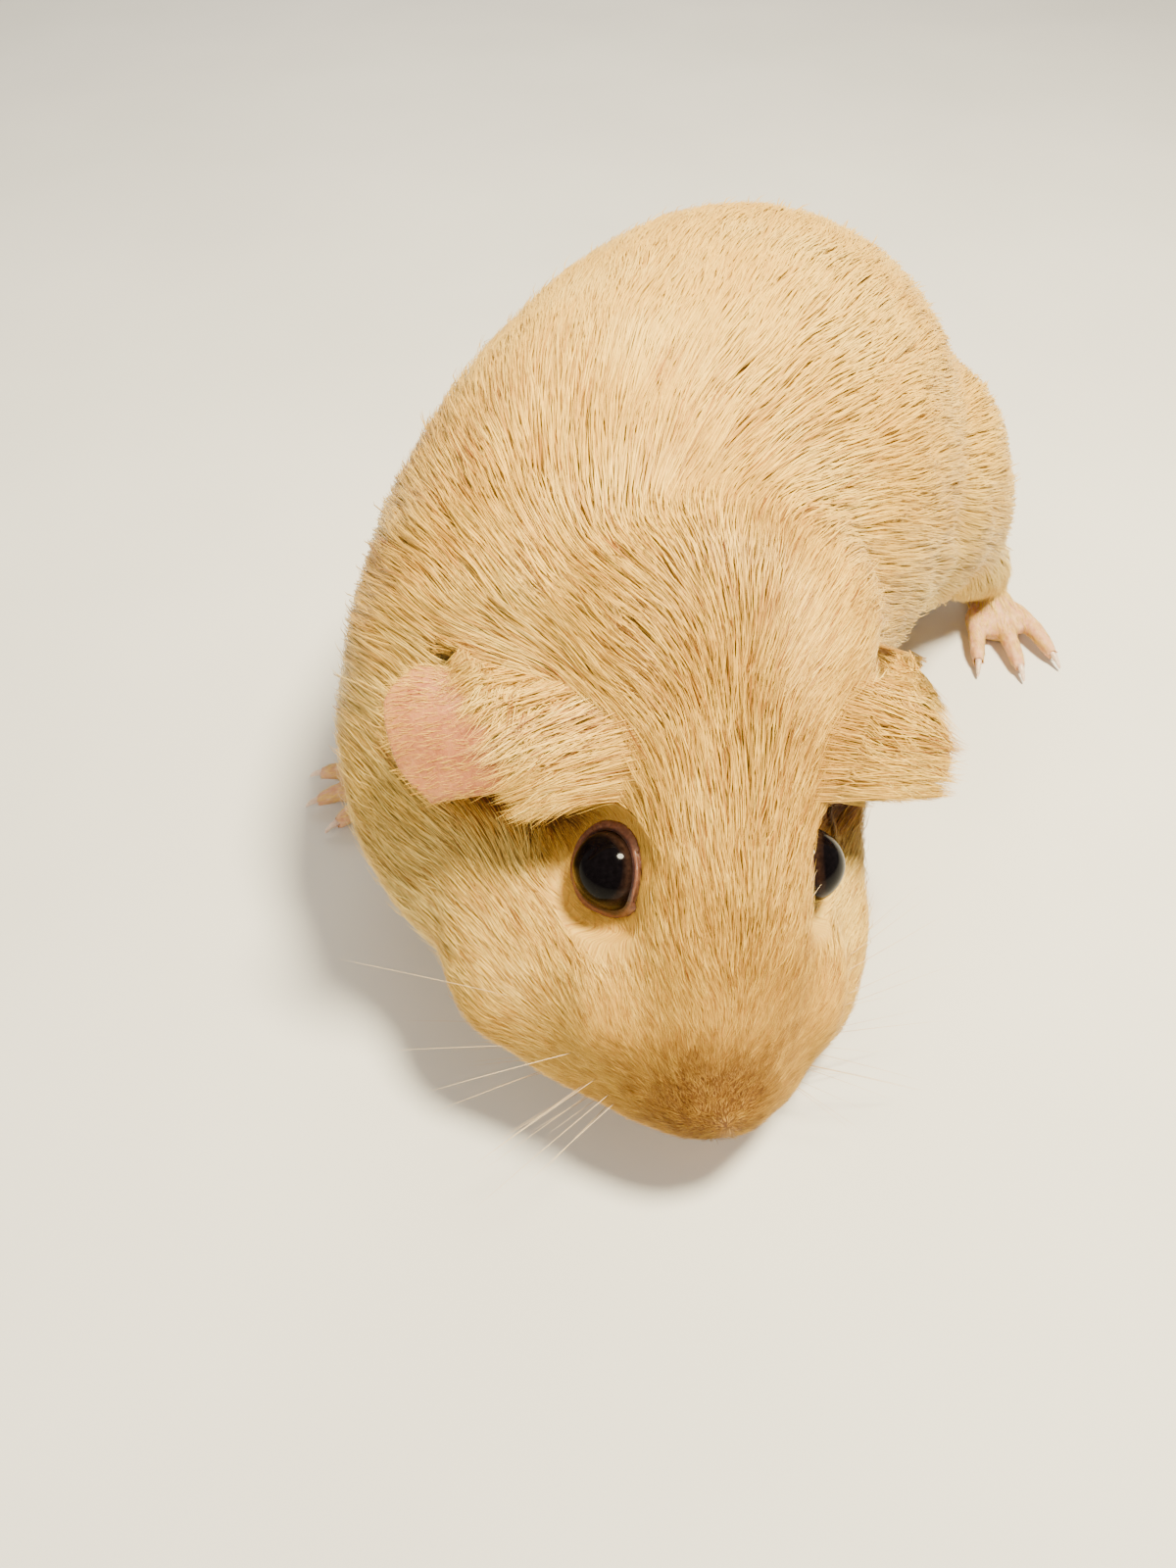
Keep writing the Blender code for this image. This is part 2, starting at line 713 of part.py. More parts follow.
def finish_head(head):
    """The head's lids, nostrils, mouth and the slots for its ears and eyes."""
    grooves = nose_and_mouth(head)
    cut(head, lid_opening(-1), lid_opening(1))
    boolean(head, [lid_ring(-1), lid_ring(1)], "UNION", "MANIFOLD")
    for side in (-1, 1):
        socket = ball("socket", eye_frame(side)[0], (EYE_RADIUS + GAP,) * 3, segments=20)
        slot = ear_sheet("slot", side, EAR_THICK + 2 * GAP, EAR_SLACK)
        centre, radii = EAR_CUP
        cup = ball("cup", mirrored(centre, side), radii, head_place, segments=16)
        for hollow in (socket, slot, cup):
            boolean(head, [hollow], "DIFFERENCE", "MANIFOLD")
    for groove in grooves:
        boolean(head, [groove], "DIFFERENCE", "MANIFOLD")


def centred(nodes):
    """All the nodes, moved so that the middle of their footprint is the origin."""
    corners = [vert.co for node in nodes for vert in node.data.vertices]
    middle = [(min(c[k] for c in corners) + max(c[k] for c in corners)) / 2 for k in (0, 1)]
    for node in nodes:
        node.data.transform(Matrix.Translation((-middle[0], -middle[1], 0)))


def main():
    """Build every node of the animal."""
    for old in list(bpy.data.objects):
        bpy.data.objects.remove(old)
    nodes = body_nodes(whole_body())
    finish_head(nodes[0])
    for node in nodes:
        dressed(node, FUR)
    for side, name in ((-1, "right"), (1, "left")):
        nodes.append(dressed(ear_sheet(f"ear_{name}", side, EAR_THICK, 0), PINK))
        centre = eye_frame(side)[0]
        nodes.append(dressed(ball(f"eye_{name}", centre, (EYE_RADIUS,) * 3, segments=20), EYE))
    for name, foot in FEET.items():
        solid = foot_solid(name, foot)
        for k, (root, way, length) in enumerate(toe_ways(foot), 1):
            tip = root + way * length
            cut(solid, claw("socket", foot.claw, tip, way, GAP))
            nodes.append(dressed(claw(f"{name}_claw_{k}", foot.claw, tip, way), HORN))
        nodes.append(dressed(solid, PINK))
    centred(nodes)


main()
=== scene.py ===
"""A smooth-haired guinea pig, made as a still, life-size museum model.

Tables are in millimetres in the animal's own drawing frame: it faces -Y, its left side is at +X
and the floor is at z = 0. Tables of the head are in the head's frame, whose origin lies between
the eyes, with +Y back along the skull and +Z up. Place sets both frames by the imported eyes.
"""

import json
import logging
import math
from collections.abc import Sequence
from dataclasses import dataclass, field
from enum import Enum
from functools import partial

import bmesh
import bpy
import numpy as np
from mathutils import Matrix, Vector
from mathutils.bvhtree import BVHTree
from mathutils.kdtree import KDTree

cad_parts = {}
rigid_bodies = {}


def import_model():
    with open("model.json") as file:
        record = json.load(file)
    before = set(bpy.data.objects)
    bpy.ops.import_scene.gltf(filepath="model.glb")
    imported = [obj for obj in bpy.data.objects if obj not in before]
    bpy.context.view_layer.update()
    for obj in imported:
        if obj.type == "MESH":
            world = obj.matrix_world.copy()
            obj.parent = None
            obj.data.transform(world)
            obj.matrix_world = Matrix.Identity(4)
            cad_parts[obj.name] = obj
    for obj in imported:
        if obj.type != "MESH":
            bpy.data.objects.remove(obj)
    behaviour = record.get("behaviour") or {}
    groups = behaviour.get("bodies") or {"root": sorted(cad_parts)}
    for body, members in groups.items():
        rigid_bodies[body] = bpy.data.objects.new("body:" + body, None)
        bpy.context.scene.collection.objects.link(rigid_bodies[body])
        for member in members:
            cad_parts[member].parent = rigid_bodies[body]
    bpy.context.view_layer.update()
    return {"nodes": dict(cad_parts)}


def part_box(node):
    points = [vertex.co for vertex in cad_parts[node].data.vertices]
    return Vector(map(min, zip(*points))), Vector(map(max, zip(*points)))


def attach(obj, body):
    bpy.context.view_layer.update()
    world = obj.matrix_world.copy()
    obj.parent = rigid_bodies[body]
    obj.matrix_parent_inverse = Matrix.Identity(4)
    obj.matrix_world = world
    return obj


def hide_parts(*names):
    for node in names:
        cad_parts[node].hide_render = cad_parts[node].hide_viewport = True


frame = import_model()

Array = np.ndarray
Colour = tuple[float, float, float, float]

log = logging.getLogger("guinea_pig")

WHITE: Colour = (1.0, 1.0, 1.0, 1.0)
BLACK: Colour = (0.0, 0.0, 0.0, 1.0)
MM = 0.001
HEAD_CENTRE = np.array((11.5, -70.0, 45.6))
HEAD_TURN = np.array(
    Matrix.Rotation(math.radians(9.6), 3, "Z")
    @ Matrix.Rotation(math.radians(32.6), 3, "X")
    @ Matrix.Rotation(math.radians(13.8), 3, "Y")
)
# The trunk's middle line in the drawing frame, from the chest to the rump.
SPINE = np.array(
    (
        (-3.0, -79.0, 27.0),
        (-8.0, -60.0, 34.0),
        (-11.5, -44.0, 42.0),
        (-12.1, -24.0, 46.0),
        (-7.6, 2.0, 46.0),
        (4.8, 32.0, 45.0),
        (12.0, 63.0, 44.0),
        (17.5, 90.0, 42.0),
        (19.5, 114.0, 36.0),
    )
)
# Each foot's heading in degrees, from -Y towards +X.
FEET = {
    "hindfoot_left": 14.5,
    "hindfoot_right": -8.0,
    "forefoot_right": -80.0,
    "forefoot_left": 8.0,
}
LEGS = ("hindleg_left", "hindleg_right", "foreleg_left", "foreleg_right")
FLESH = ("head", "neck", "torso", *LEGS, *FEET)


class Side(Enum):
    """The animal's own sides, as the sign of X."""

    LEFT = 1
    RIGHT = -1

    @property
    def word(self) -> str:
        """The side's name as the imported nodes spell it."""
        return self.name.lower()


class Slot(Enum):
    """The record's finishes, by name."""

    FUR = "fur"
    EAR = "ear_skin"
    EYE = "eye"
    CLAW = "claw_horn"


def smooth_step(low: float, high: float, value: Array) -> Array:
    """A soft ramp from 0 at low to 1 at high."""
    t = np.clip((value - low) / (high - low), 0.0, 1.0)
    return t * t * (3.0 - 2.0 * t)


def unit(rows: Array) -> Array:
    """Rows of vectors, each brought to length 1."""
    return rows / np.maximum(np.linalg.norm(rows, axis=-1, keepdims=True), 1e-9)


def mirrored(points: Array) -> Array:
    """Points of the head's frame, all brought to its left side."""
    return np.column_stack((np.abs(points[:, 0]), points[:, 1], points[:, 2]))


def toes(foot: str) -> tuple[float, float]:
    """The level way that a foot's toes point, along X and Y."""
    heading = math.radians(FEET[foot])
    return math.sin(heading), -math.cos(heading)


def hill(points: Array, centre: Sequence[float], radii: float | Sequence[float]) -> Array:
    """A soft hill that is 1 at its centre and falls off over its radii."""
    away = (points - np.asarray(centre)) / np.asarray(radii)
    return np.exp(-np.sum(away * away, axis=-1))


def spline(rows: Array, t: Array) -> Array:
    """Smooth curve through rows of values.

    Args:
        rows: The values at t = 0, 1, 2 and so on, one row each.
        t: Where the curve is read.

    Returns:
        One row of values for each t.
    """
    rows = np.asarray(rows, float)
    t = np.asarray(t, float)
    i = np.clip(t.astype(int), 0, len(rows) - 2)
    u = (t - i)[..., None]
    a, b, c, d = (rows[np.clip(i + k, 0, len(rows) - 1)] for k in (-1, 0, 1, 2))
    bend = (2 * a - 5 * b + 4 * c - d) * u**2 + (3 * b - 3 * c + d - a) * u**3
    return 0.5 * (2 * b + (c - a) * u + bend)


def ripple(points: Array, size: float, seed: int, waves: int = 7) -> Array:
    """Soft uneven values between about -1 and 1 that vary over the given size.

    Args:
        points: Places in millimetres, one row each.
        size: The usual distance between two crests, in millimetres.
        seed: Picks the waves' directions.
        waves: How many waves are added up.

    Returns:
        One value for each point.
    """
    rng = np.random.default_rng(seed)
    ways = unit(rng.normal(size=(waves, 3))) * rng.uniform(0.6, 1.5, (waves, 1))
    turns = points @ ways.T * (math.tau / size) + rng.uniform(0, math.tau, waves)
    return np.sin(turns).sum(axis=1) / math.sqrt(waves)


@dataclass(frozen=True)
class Place:
    """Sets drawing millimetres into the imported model's metres."""

    shift: tuple[float, float, float]
    eyes: tuple[float, float, float]

    @classmethod
    def from_eyes(cls, eye: Array) -> "Place":
        """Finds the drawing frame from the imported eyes.

        Args:
            eye: An eye's centre in the head's frame.

        Returns:
            The place that both frames share.
        """
        corners = [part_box(f"eye_{side.word}") for side in Side]
        middle = np.mean([np.mean(np.array(pair), axis=0) for pair in corners], axis=0)
        drawn = HEAD_CENTRE + HEAD_TURN @ (eye * (0, 1, 1))
        return cls(tuple(middle - MM * drawn), tuple(middle))

    def set(self, points: Array) -> Array:
        """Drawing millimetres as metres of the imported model."""
        return MM * np.asarray(points, float) + np.array(self.shift)

    def drawn(self, points: Array) -> Array:
        """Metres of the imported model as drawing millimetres."""
        return (np.asarray(points, float) - np.array(self.shift)) / MM

    @staticmethod
    def from_head(points: Array) -> Array:
        """Points of the head's frame, in the drawing frame."""
        return HEAD_CENTRE + np.asarray(points, float) @ HEAD_TURN.T

    @staticmethod
    def to_head(points: Array) -> Array:
        """Points of the drawing frame, in the head's frame."""
        return (np.asarray(points, float) - HEAD_CENTRE) @ HEAD_TURN


def link(name: str, mesh: bpy.types.Mesh) -> bpy.types.Object:
    """A scene object around a mesh, at the origin."""
    thing = bpy.data.objects.new(name, mesh)
    bpy.context.scene.collection.objects.link(thing)
    return thing


def from_bmesh(name: str, bm: bmesh.types.BMesh) -> bpy.types.Object:
    """Makes a smooth-shaded scene object.

    Args:
        name: The object's name.
        bm: Its shape, which is freed.

    Returns:
        The object.
    """
    mesh = bpy.data.meshes.new(name)
    bm.to_mesh(mesh)
    bm.free()
    mesh.shade_smooth()
    return link(name, mesh)


def settled(thing: bpy.types.Object) -> bpy.types.Object:
    """Applies an object's modifiers to its mesh.

    Args:
        thing: The object, whose own mesh is replaced.

    Returns:
        The same object.
    """
    bpy.context.view_layer.update()
    shown = thing.evaluated_get(bpy.context.evaluated_depsgraph_get())
    mesh = bpy.data.meshes.new_from_object(shown)
    mesh.name = thing.name
    thing.modifiers.clear()
    old = thing.data
    thing.data = mesh
    bpy.data.meshes.remove(old)
    return thing


def read(collection: bpy.types.bpy_prop_collection, field_name: str, width: int) -> Array:
    """One field of a mesh collection as an array.

    Args:
        collection: The vertices, edges or triangles.
        field_name: The field to read.
        width: How many numbers each entry has.

    Returns:
        One row for each entry.
    """
    kind = np.int32 if field_name == "vertices" else np.float32
    values = np.empty(len(collection) * width, kind)
    collection.foreach_get(field_name, values)
    rows = values.reshape(-1, width)
    return rows if kind is np.int32 else rows.astype(float)


def set_attribute(mesh: bpy.types.Mesh, name: str, values: Array) -> None:
    """Stores one value or one vector for each vertex under this name."""
    kind, key = ("FLOAT", "value") if values.ndim == 1 else ("FLOAT_VECTOR", "vector")
    store = mesh.attributes.new(name, kind, "POINT")
    store.data.foreach_set(key, values.astype(np.float32).ravel())


def finish_piece(
    thing: bpy.types.Object,
    material: bpy.types.Material,
    replaced: Sequence[str] = (),
) -> bpy.types.Object:
    """Dresses a piece, sets it on the body and reports it.

    Args:
        thing: The finished piece.
        material: What it is made of.
        replaced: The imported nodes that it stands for.

    Returns:
        The same piece.
    """
    thing.data.materials.clear()
    thing.data.materials.append(material)
    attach(thing, "root")
    if replaced:
        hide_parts(*replaced)
    log.info("%s: %d faces", thing.name, len(thing.data.polygons))
    return thing


class Nodes:
    """A material's node tree, with short ways to add to it."""

    def __init__(self, name: str) -> None:
        """Starts a material of this name with one Principled shader."""
        self.material = bpy.data.materials.new(name)
        self.material.use_nodes = True
        self.tree = self.material.node_tree
        self.shader = self.tree.nodes["Principled BSDF"]

    def add(self, kind: str, **settings: object) -> bpy.types.Node:
        """A new node of this kind with these settings.

        Args:
            kind: The node's type, without its ShaderNode prefix.
            **settings: Properties of the node, or values of its inputs by name.

        Returns:
            The node.
        """
        node = self.tree.nodes.new("ShaderNode" + kind)
        for key, value in settings.items():
            if hasattr(node, key):
                setattr(node, key, value)
            else:
                node.inputs[key.replace("_", " ").title()].default_value = value
        return node

    def join(self, source: bpy.types.NodeSocket, target: bpy.types.NodeSocket) -> None:
        """Links one socket to another."""
        self.tree.links.new(source, target)

    def shade(self, **values: float | Colour) -> None:
        """Sets constants on the shader's own sockets, named with underscores."""
        names = {socket.name.lower().replace(" ", "_"): socket for socket in self.shader.inputs}
        for key, value in values.items():
            names[key].default_value = value

    def objects(self) -> bpy.types.NodeSocket:
        """The piece's own coordinates."""
        return self.add("TexCoord").outputs["Object"]

    def value(self, name: str) -> bpy.types.NodeSocket:
        """The number that the mesh stores under this name."""
        return self.add("Attribute", attribute_name=name).outputs["Fac"]

    def vector(self, name: str) -> tuple[bpy.types.NodeSocket, ...]:
        """The three parts of the vector that the mesh stores under this name."""
        stored, parts = self.add("Attribute", attribute_name=name), self.add("SeparateXYZ")
        self.join(stored.outputs["Vector"], parts.inputs["Vector"])
        return tuple(parts.outputs)

    def noise(self, where: bpy.types.NodeSocket, scale: float, detail: float) -> bpy.types.NodeSocket:
        """Uneven values over a set of coordinates."""
        node = self.add("TexNoise", scale=scale, detail=detail)
        self.join(where, node.inputs["Vector"])
        return node.outputs["Fac"]

    def ramp(
        self, value: bpy.types.NodeSocket, stops: Sequence[tuple[float, Colour]]
    ) -> bpy.types.NodeSocket:
        """Colours read off a value.

        Args:
            value: The socket that drives the ramp.
            stops: Each colour's place and value.

        Returns:
            The colour's socket.
        """
        node = self.add("ValToRGB")
        elements = node.color_ramp.elements
        while len(elements) < len(stops):
            elements.new(0.5)
        for element, (place, colour) in zip(elements, stops):
            element.position = place
            element.color = colour
        self.join(value, node.inputs["Fac"])
        return node.outputs["Color"]

    def mix(
        self,
        share: bpy.types.NodeSocket | float,
        one: bpy.types.NodeSocket | Colour,
        two: bpy.types.NodeSocket | Colour,
        blend: str = "MIX",
    ) -> bpy.types.NodeSocket:
        """Mixes two colours.

        Args:
            share: How much of the second shows.
            one: The first colour or its socket.
            two: The second colour or its socket.
            blend: The way of mixing.

        Returns:
            The mixed colour's socket.
        """
        node = self.add("Mix", data_type="RGBA", blend_type=blend)
        # Inputs 6 and 7 and output 2 are the node's colours.
        for socket, value in ((node.inputs[0], share), (node.inputs[6], one), (node.inputs[7], two)):
            if isinstance(value, bpy.types.NodeSocket):
                self.join(value, socket)
            else:
                socket.default_value = value
        return node.outputs[2]

    def bump(self, height: bpy.types.NodeSocket, depth: float) -> None:
        """Raises the surface by up to a depth in metres."""
        node = self.add("Bump", strength=1.0, distance=depth)
        self.join(height, node.inputs["Height"])
        self.join(node.outputs["Normal"], self.shader.inputs["Normal"])

    def colour(self, source: bpy.types.NodeSocket) -> None:
        """Gives the shader its base colour."""
        self.join(source, self.shader.inputs["Base Color"])

    def grained(
        self, ground: bpy.types.NodeSocket, grain: bpy.types.NodeSocket, dark: Colour, low: float = 0.3
    ) -> None:
        """Gives the shader this base colour, unevenly darkened.

        Args:
            ground: The colour.
            grain: Uneven values.
            dark: What the colour is multiplied by where the grain is low.
            low: The grain's value that counts as low.
        """
        soft = self.ramp(grain, [(low, dark), (0.7, WHITE)])
        self.colour(self.mix(1.0, ground, soft, "MULTIPLY"))

    def roughness(self, value: bpy.types.NodeSocket, low: float, high: float) -> None:
        """Gives the shader a roughness that runs between two values.

        Args:
            value: The socket that drives it, from 0 to 1.
            low: The roughness at 0.
            high: The roughness at 1.
        """
        node = self.add("MapRange")
        node.inputs["To Min"].default_value = low
        node.inputs["To Max"].default_value = high
        self.join(value, node.inputs["Value"])
        self.join(node.outputs["Result"], self.shader.inputs["Roughness"])


def tint(red: float, green: float, blue: float) -> Colour:
    """A colour given in display values of 0 to 255, as the shader's linear ones."""
    return (*(((value / 255 + 0.055) / 1.055) ** 2.4 for value in (red, green, blue)), 1.0)


@dataclass(frozen=True)
class CoatFinish:
    """The colours of the lying coat, from pale cream over buff to tan."""

    cream: Colour = tint(250, 220, 128)
    buff: Colour = tint(238, 190, 80)
    tan: Colour = tint(126, 84, 30)
    root: Colour = tint(200, 146, 62)

    def stops(self) -> list[tuple[float, Colour]]:
        """The colours over the marking, from pale to tan."""
        return [(0.0, self.cream), (0.5, self.buff), (1.0, self.tan)]

    def material(self) -> bpy.types.Material:
        """The hair itself: a marking, a tone for each tuft and a paler tip.

        Returns:
            The hair's material.
        """
        nodes = Nodes("coat_hair")
        marking, tone, along = nodes.vector("coat")
        # The lowest tones serve both the few dark hairs and the painted shade in the hollows under the
        # ears.
        tones = nodes.ramp(
            tone,
            [
                (0.0, tint(138, 92, 80)),
                (0.3, tint(212, 188, 166)),
                (0.62, tint(248, 243, 234)),
                (1.0, (1.14, 1.11, 1.04, 1)),
            ],
        )
        toned = nodes.mix(1.0, nodes.ramp(marking, self.stops()), tones, "MULTIPLY")
        near_root = nodes.ramp(along, [(0.0, (0.9, 0.9, 0.9, 1)), (0.5, BLACK)])
        fine = nodes.noise(nodes.objects(), 900.0, 2.0)
        nodes.grained(nodes.mix(near_root, toned, self.root), fine, tint(238, 234, 228))
        nodes.roughness(fine, 0.34, 0.46)
        nodes.shade(
            specular_ior_level=0.3,
            specular_tint=(1.0, 0.84, 0.56, 1),
            sheen_weight=0.08,
            sheen_roughness=0.4,
            sheen_tint=(1.0, 0.8, 0.5, 1),
        )
        return nodes.material


@dataclass(frozen=True)
class SkinFinish:
    """The skin under the coat, with bare pink skin where no hair grows."""

    bare: Colour = tint(220, 174, 134)
    flush: Colour = tint(198, 138, 104)

    def material(self, coat: CoatFinish) -> bpy.types.Material:
        """Short flat fur as fine streaks along its lie, darkened by a warm painted shade under the coat,
        and creased bare skin.

        Args:
            coat: The coat whose markings the skin shares.

        Returns:
            The skin's material.
        """
        nodes = Nodes("skin")
        furred = nodes.ramp(nodes.value("mark"), coat.stops())
        bare = nodes.value("bare")
        flow = nodes.add("UVMap", uv_map="flow")
        mapping = nodes.add("Mapping")
        mapping.inputs["Scale"].default_value = (420, 40, 1)
        nodes.join(flow.outputs["UV"], mapping.inputs["Vector"])
        streaks = nodes.noise(mapping.outputs["Vector"], 1.0, 4.0)
        # Fine streaks of the lying hair, and painted shade: both ends of this ramp darken and warm the
        # skin's colour to stand for the shade under the coat.
        streaks_and_painted_shade = nodes.ramp(streaks, [(0.3, tint(196, 172, 134)), (0.62, tint(240, 232, 216))])
        fur = nodes.mix(1.0, furred, streaks_and_painted_shade, "MULTIPLY")
        creases = nodes.noise(nodes.objects(), 700.0, 5.0)
        flushed = nodes.ramp(creases, [(0.35, BLACK), (0.7, WHITE)])
        nodes.colour(nodes.mix(bare, fur, nodes.mix(flushed, self.flush, self.bare)))
        nodes.roughness(streaks, 0.5, 0.7)
        nodes.bump(nodes.mix(bare, streaks, creases), 0.0004)
        nodes.shade(specular_ior_level=0.3, subsurface_weight=0.12, subsurface_scale=0.002)
        return nodes.material


@dataclass(frozen=True)
class EarFinish:
    """Thin pink ear skin, flushed in the middle and paler at the rim."""

    rim: Colour = tint(200, 136, 84)
    middle: Colour = tint(170, 102, 66)
    vein: Colour = tint(150, 76, 52)

    def material(self) -> bpy.types.Material:
        """Ear skin that pales towards its rim, mottled and finely creased.

        Returns:
            The ears' material.
        """
        nodes = Nodes("ear_skin")
        ground = nodes.ramp(nodes.value("spread"), [(0.3, self.middle), (0.97, self.rim)])
        mottle = nodes.noise(nodes.objects(), 260.0, 4.0)
        blush = nodes.ramp(mottle, [(0.42, BLACK), (0.72, (0.6, 0.6, 0.6, 1))])
        fine = nodes.noise(nodes.objects(), 1600.0, 3.0)
        nodes.grained(nodes.mix(blush, ground, self.vein), fine, tint(232, 226, 222))
        nodes.roughness(fine, 0.42, 0.6)
        nodes.bump(nodes.mix(0.4, mottle, fine), 0.0003)
        nodes.shade(
            specular_ior_level=0.3,
            subsurface_weight=0.2,
            subsurface_scale=0.003,
            subsurface_radius=(1.0, 0.35, 0.2),
        )
        return nodes.material


@dataclass(frozen=True)
class EyeFinish:
    """A wet, near-black eye with a dark brown iris."""

    pupil: Colour = tint(8, 5, 7)
    iris: Colour = tint(46, 30, 22)
    edge: Colour = tint(30, 19, 16)
    white: Colour = tint(24, 14, 12)

    def material(self) -> bpy.types.Material:
        """Rings read from the angle to the gaze, under a clear wet coat.

        Returns:
            The eyes' material.
        """
        nodes = Nodes("eye")
        rings = nodes.ramp(
            nodes.value("gaze"),
            [
                (0.0, self.pupil),
                (0.56, self.pupil),
                (0.68, self.iris),
                (0.76, self.edge),
                (0.84, self.white),
            ],
        )
        fibres = nodes.noise(nodes.objects(), 1500.0, 4.0)
        nodes.grained(rings, fibres, tint(170, 160, 160))
        nodes.roughness(fibres, 0.07, 0.12)
        nodes.shade(specular_ior_level=0.05, coat_weight=0.08, coat_roughness=0.02, coat_ior=1.33)
        return nodes.material


@dataclass(frozen=True)
class LidFinish:
    """Bare mauve lid skin, dark and wet where it meets the eye."""

    wet: Colour = tint(54, 28, 22)
    mauve: Colour = tint(126, 84, 62)
    pale: Colour = tint(196, 150, 80)

    def material(self) -> bpy.types.Material:
        """Lid skin read across its own width.

        Returns:
            The lids' material.
        """
        nodes = Nodes("lid_skin")
        ground = nodes.ramp(
            nodes.value("across"),
            [(0.0, self.wet), (0.24, self.wet), (0.4, self.mauve), (0.75, self.mauve), (1.0, self.pale)],
        )
        folds = nodes.noise(nodes.objects(), 1100.0, 4.0)
        nodes.grained(ground, folds, tint(205, 190, 190), 0.35)
        nodes.roughness(folds, 0.28, 0.45)
        nodes.bump(folds, 0.00025)
        nodes.shade(specular_ior_level=0.5, subsurface_weight=0.2, subsurface_scale=0.0015)
        return nodes.material


@dataclass(frozen=True)
class ClawFinish:
    """Pale horn, pinker at the root."""

    root: Colour = tint(214, 168, 150)
    horn: Colour = tint(232, 208, 186)

    def material(self) -> bpy.types.Material:
        """Horn with a fine grain.

        Returns:
            The claws' material.
        """
        nodes = Nodes("claw_horn")
        ground = nodes.ramp(nodes.value("along"), [(0.1, self.root), (0.6, self.horn)])
        grain = nodes.noise(nodes.objects(), 1300.0, 3.0)
        nodes.grained(ground, grain, tint(222, 212, 204))
        nodes.roughness(grain, 0.25, 0.42)
        nodes.bump(grain, 0.0001)
        nodes.shade(specular_ior_level=0.5, subsurface_weight=0.2, subsurface_scale=0.001)
        return nodes.material


@dataclass(frozen=True)
class WhiskerFinish:
    """Fine, stiff, pale whiskers."""

    root: Colour = tint(152, 114, 70)
    tip: Colour = tint(218, 192, 148)

    def material(self) -> bpy.types.Material:
        """Whiskers that pale towards their tips.

        Returns:
            The whiskers' material.
        """
        nodes = Nodes("whiskers")
        along = nodes.vector("coat")[2]
        ground = nodes.ramp(along, [(0.0, self.root), (0.7, self.tip)])
        grain = nodes.noise(nodes.objects(), 800.0, 2.0)
        nodes.grained(ground, grain, tint(236, 232, 226))
        nodes.roughness(grain, 0.25, 0.4)
        nodes.shade(specular_ior_level=0.3)
        return nodes.material


@dataclass(frozen=True)
class FloorFinish:
    """A plain, pale, matt studio floor."""

    paper: Colour = tint(222, 218, 210)
    shade: Colour = tint(214, 210, 202)

    def material(self) -> bpy.types.Material:
        """Paper with a faint, soft mottle.

        Returns:
            The floor's material.
        """
        nodes = Nodes("floor")
        cloud = nodes.noise(nodes.objects(), 9.0, 3.0)
        nodes.colour(nodes.ramp(cloud, [(0.3, self.shade), (0.7, self.paper)]))
        nodes.roughness(cloud, 0.8, 0.9)
        nodes.shade(specular_ior_level=0.2)
        return nodes.material


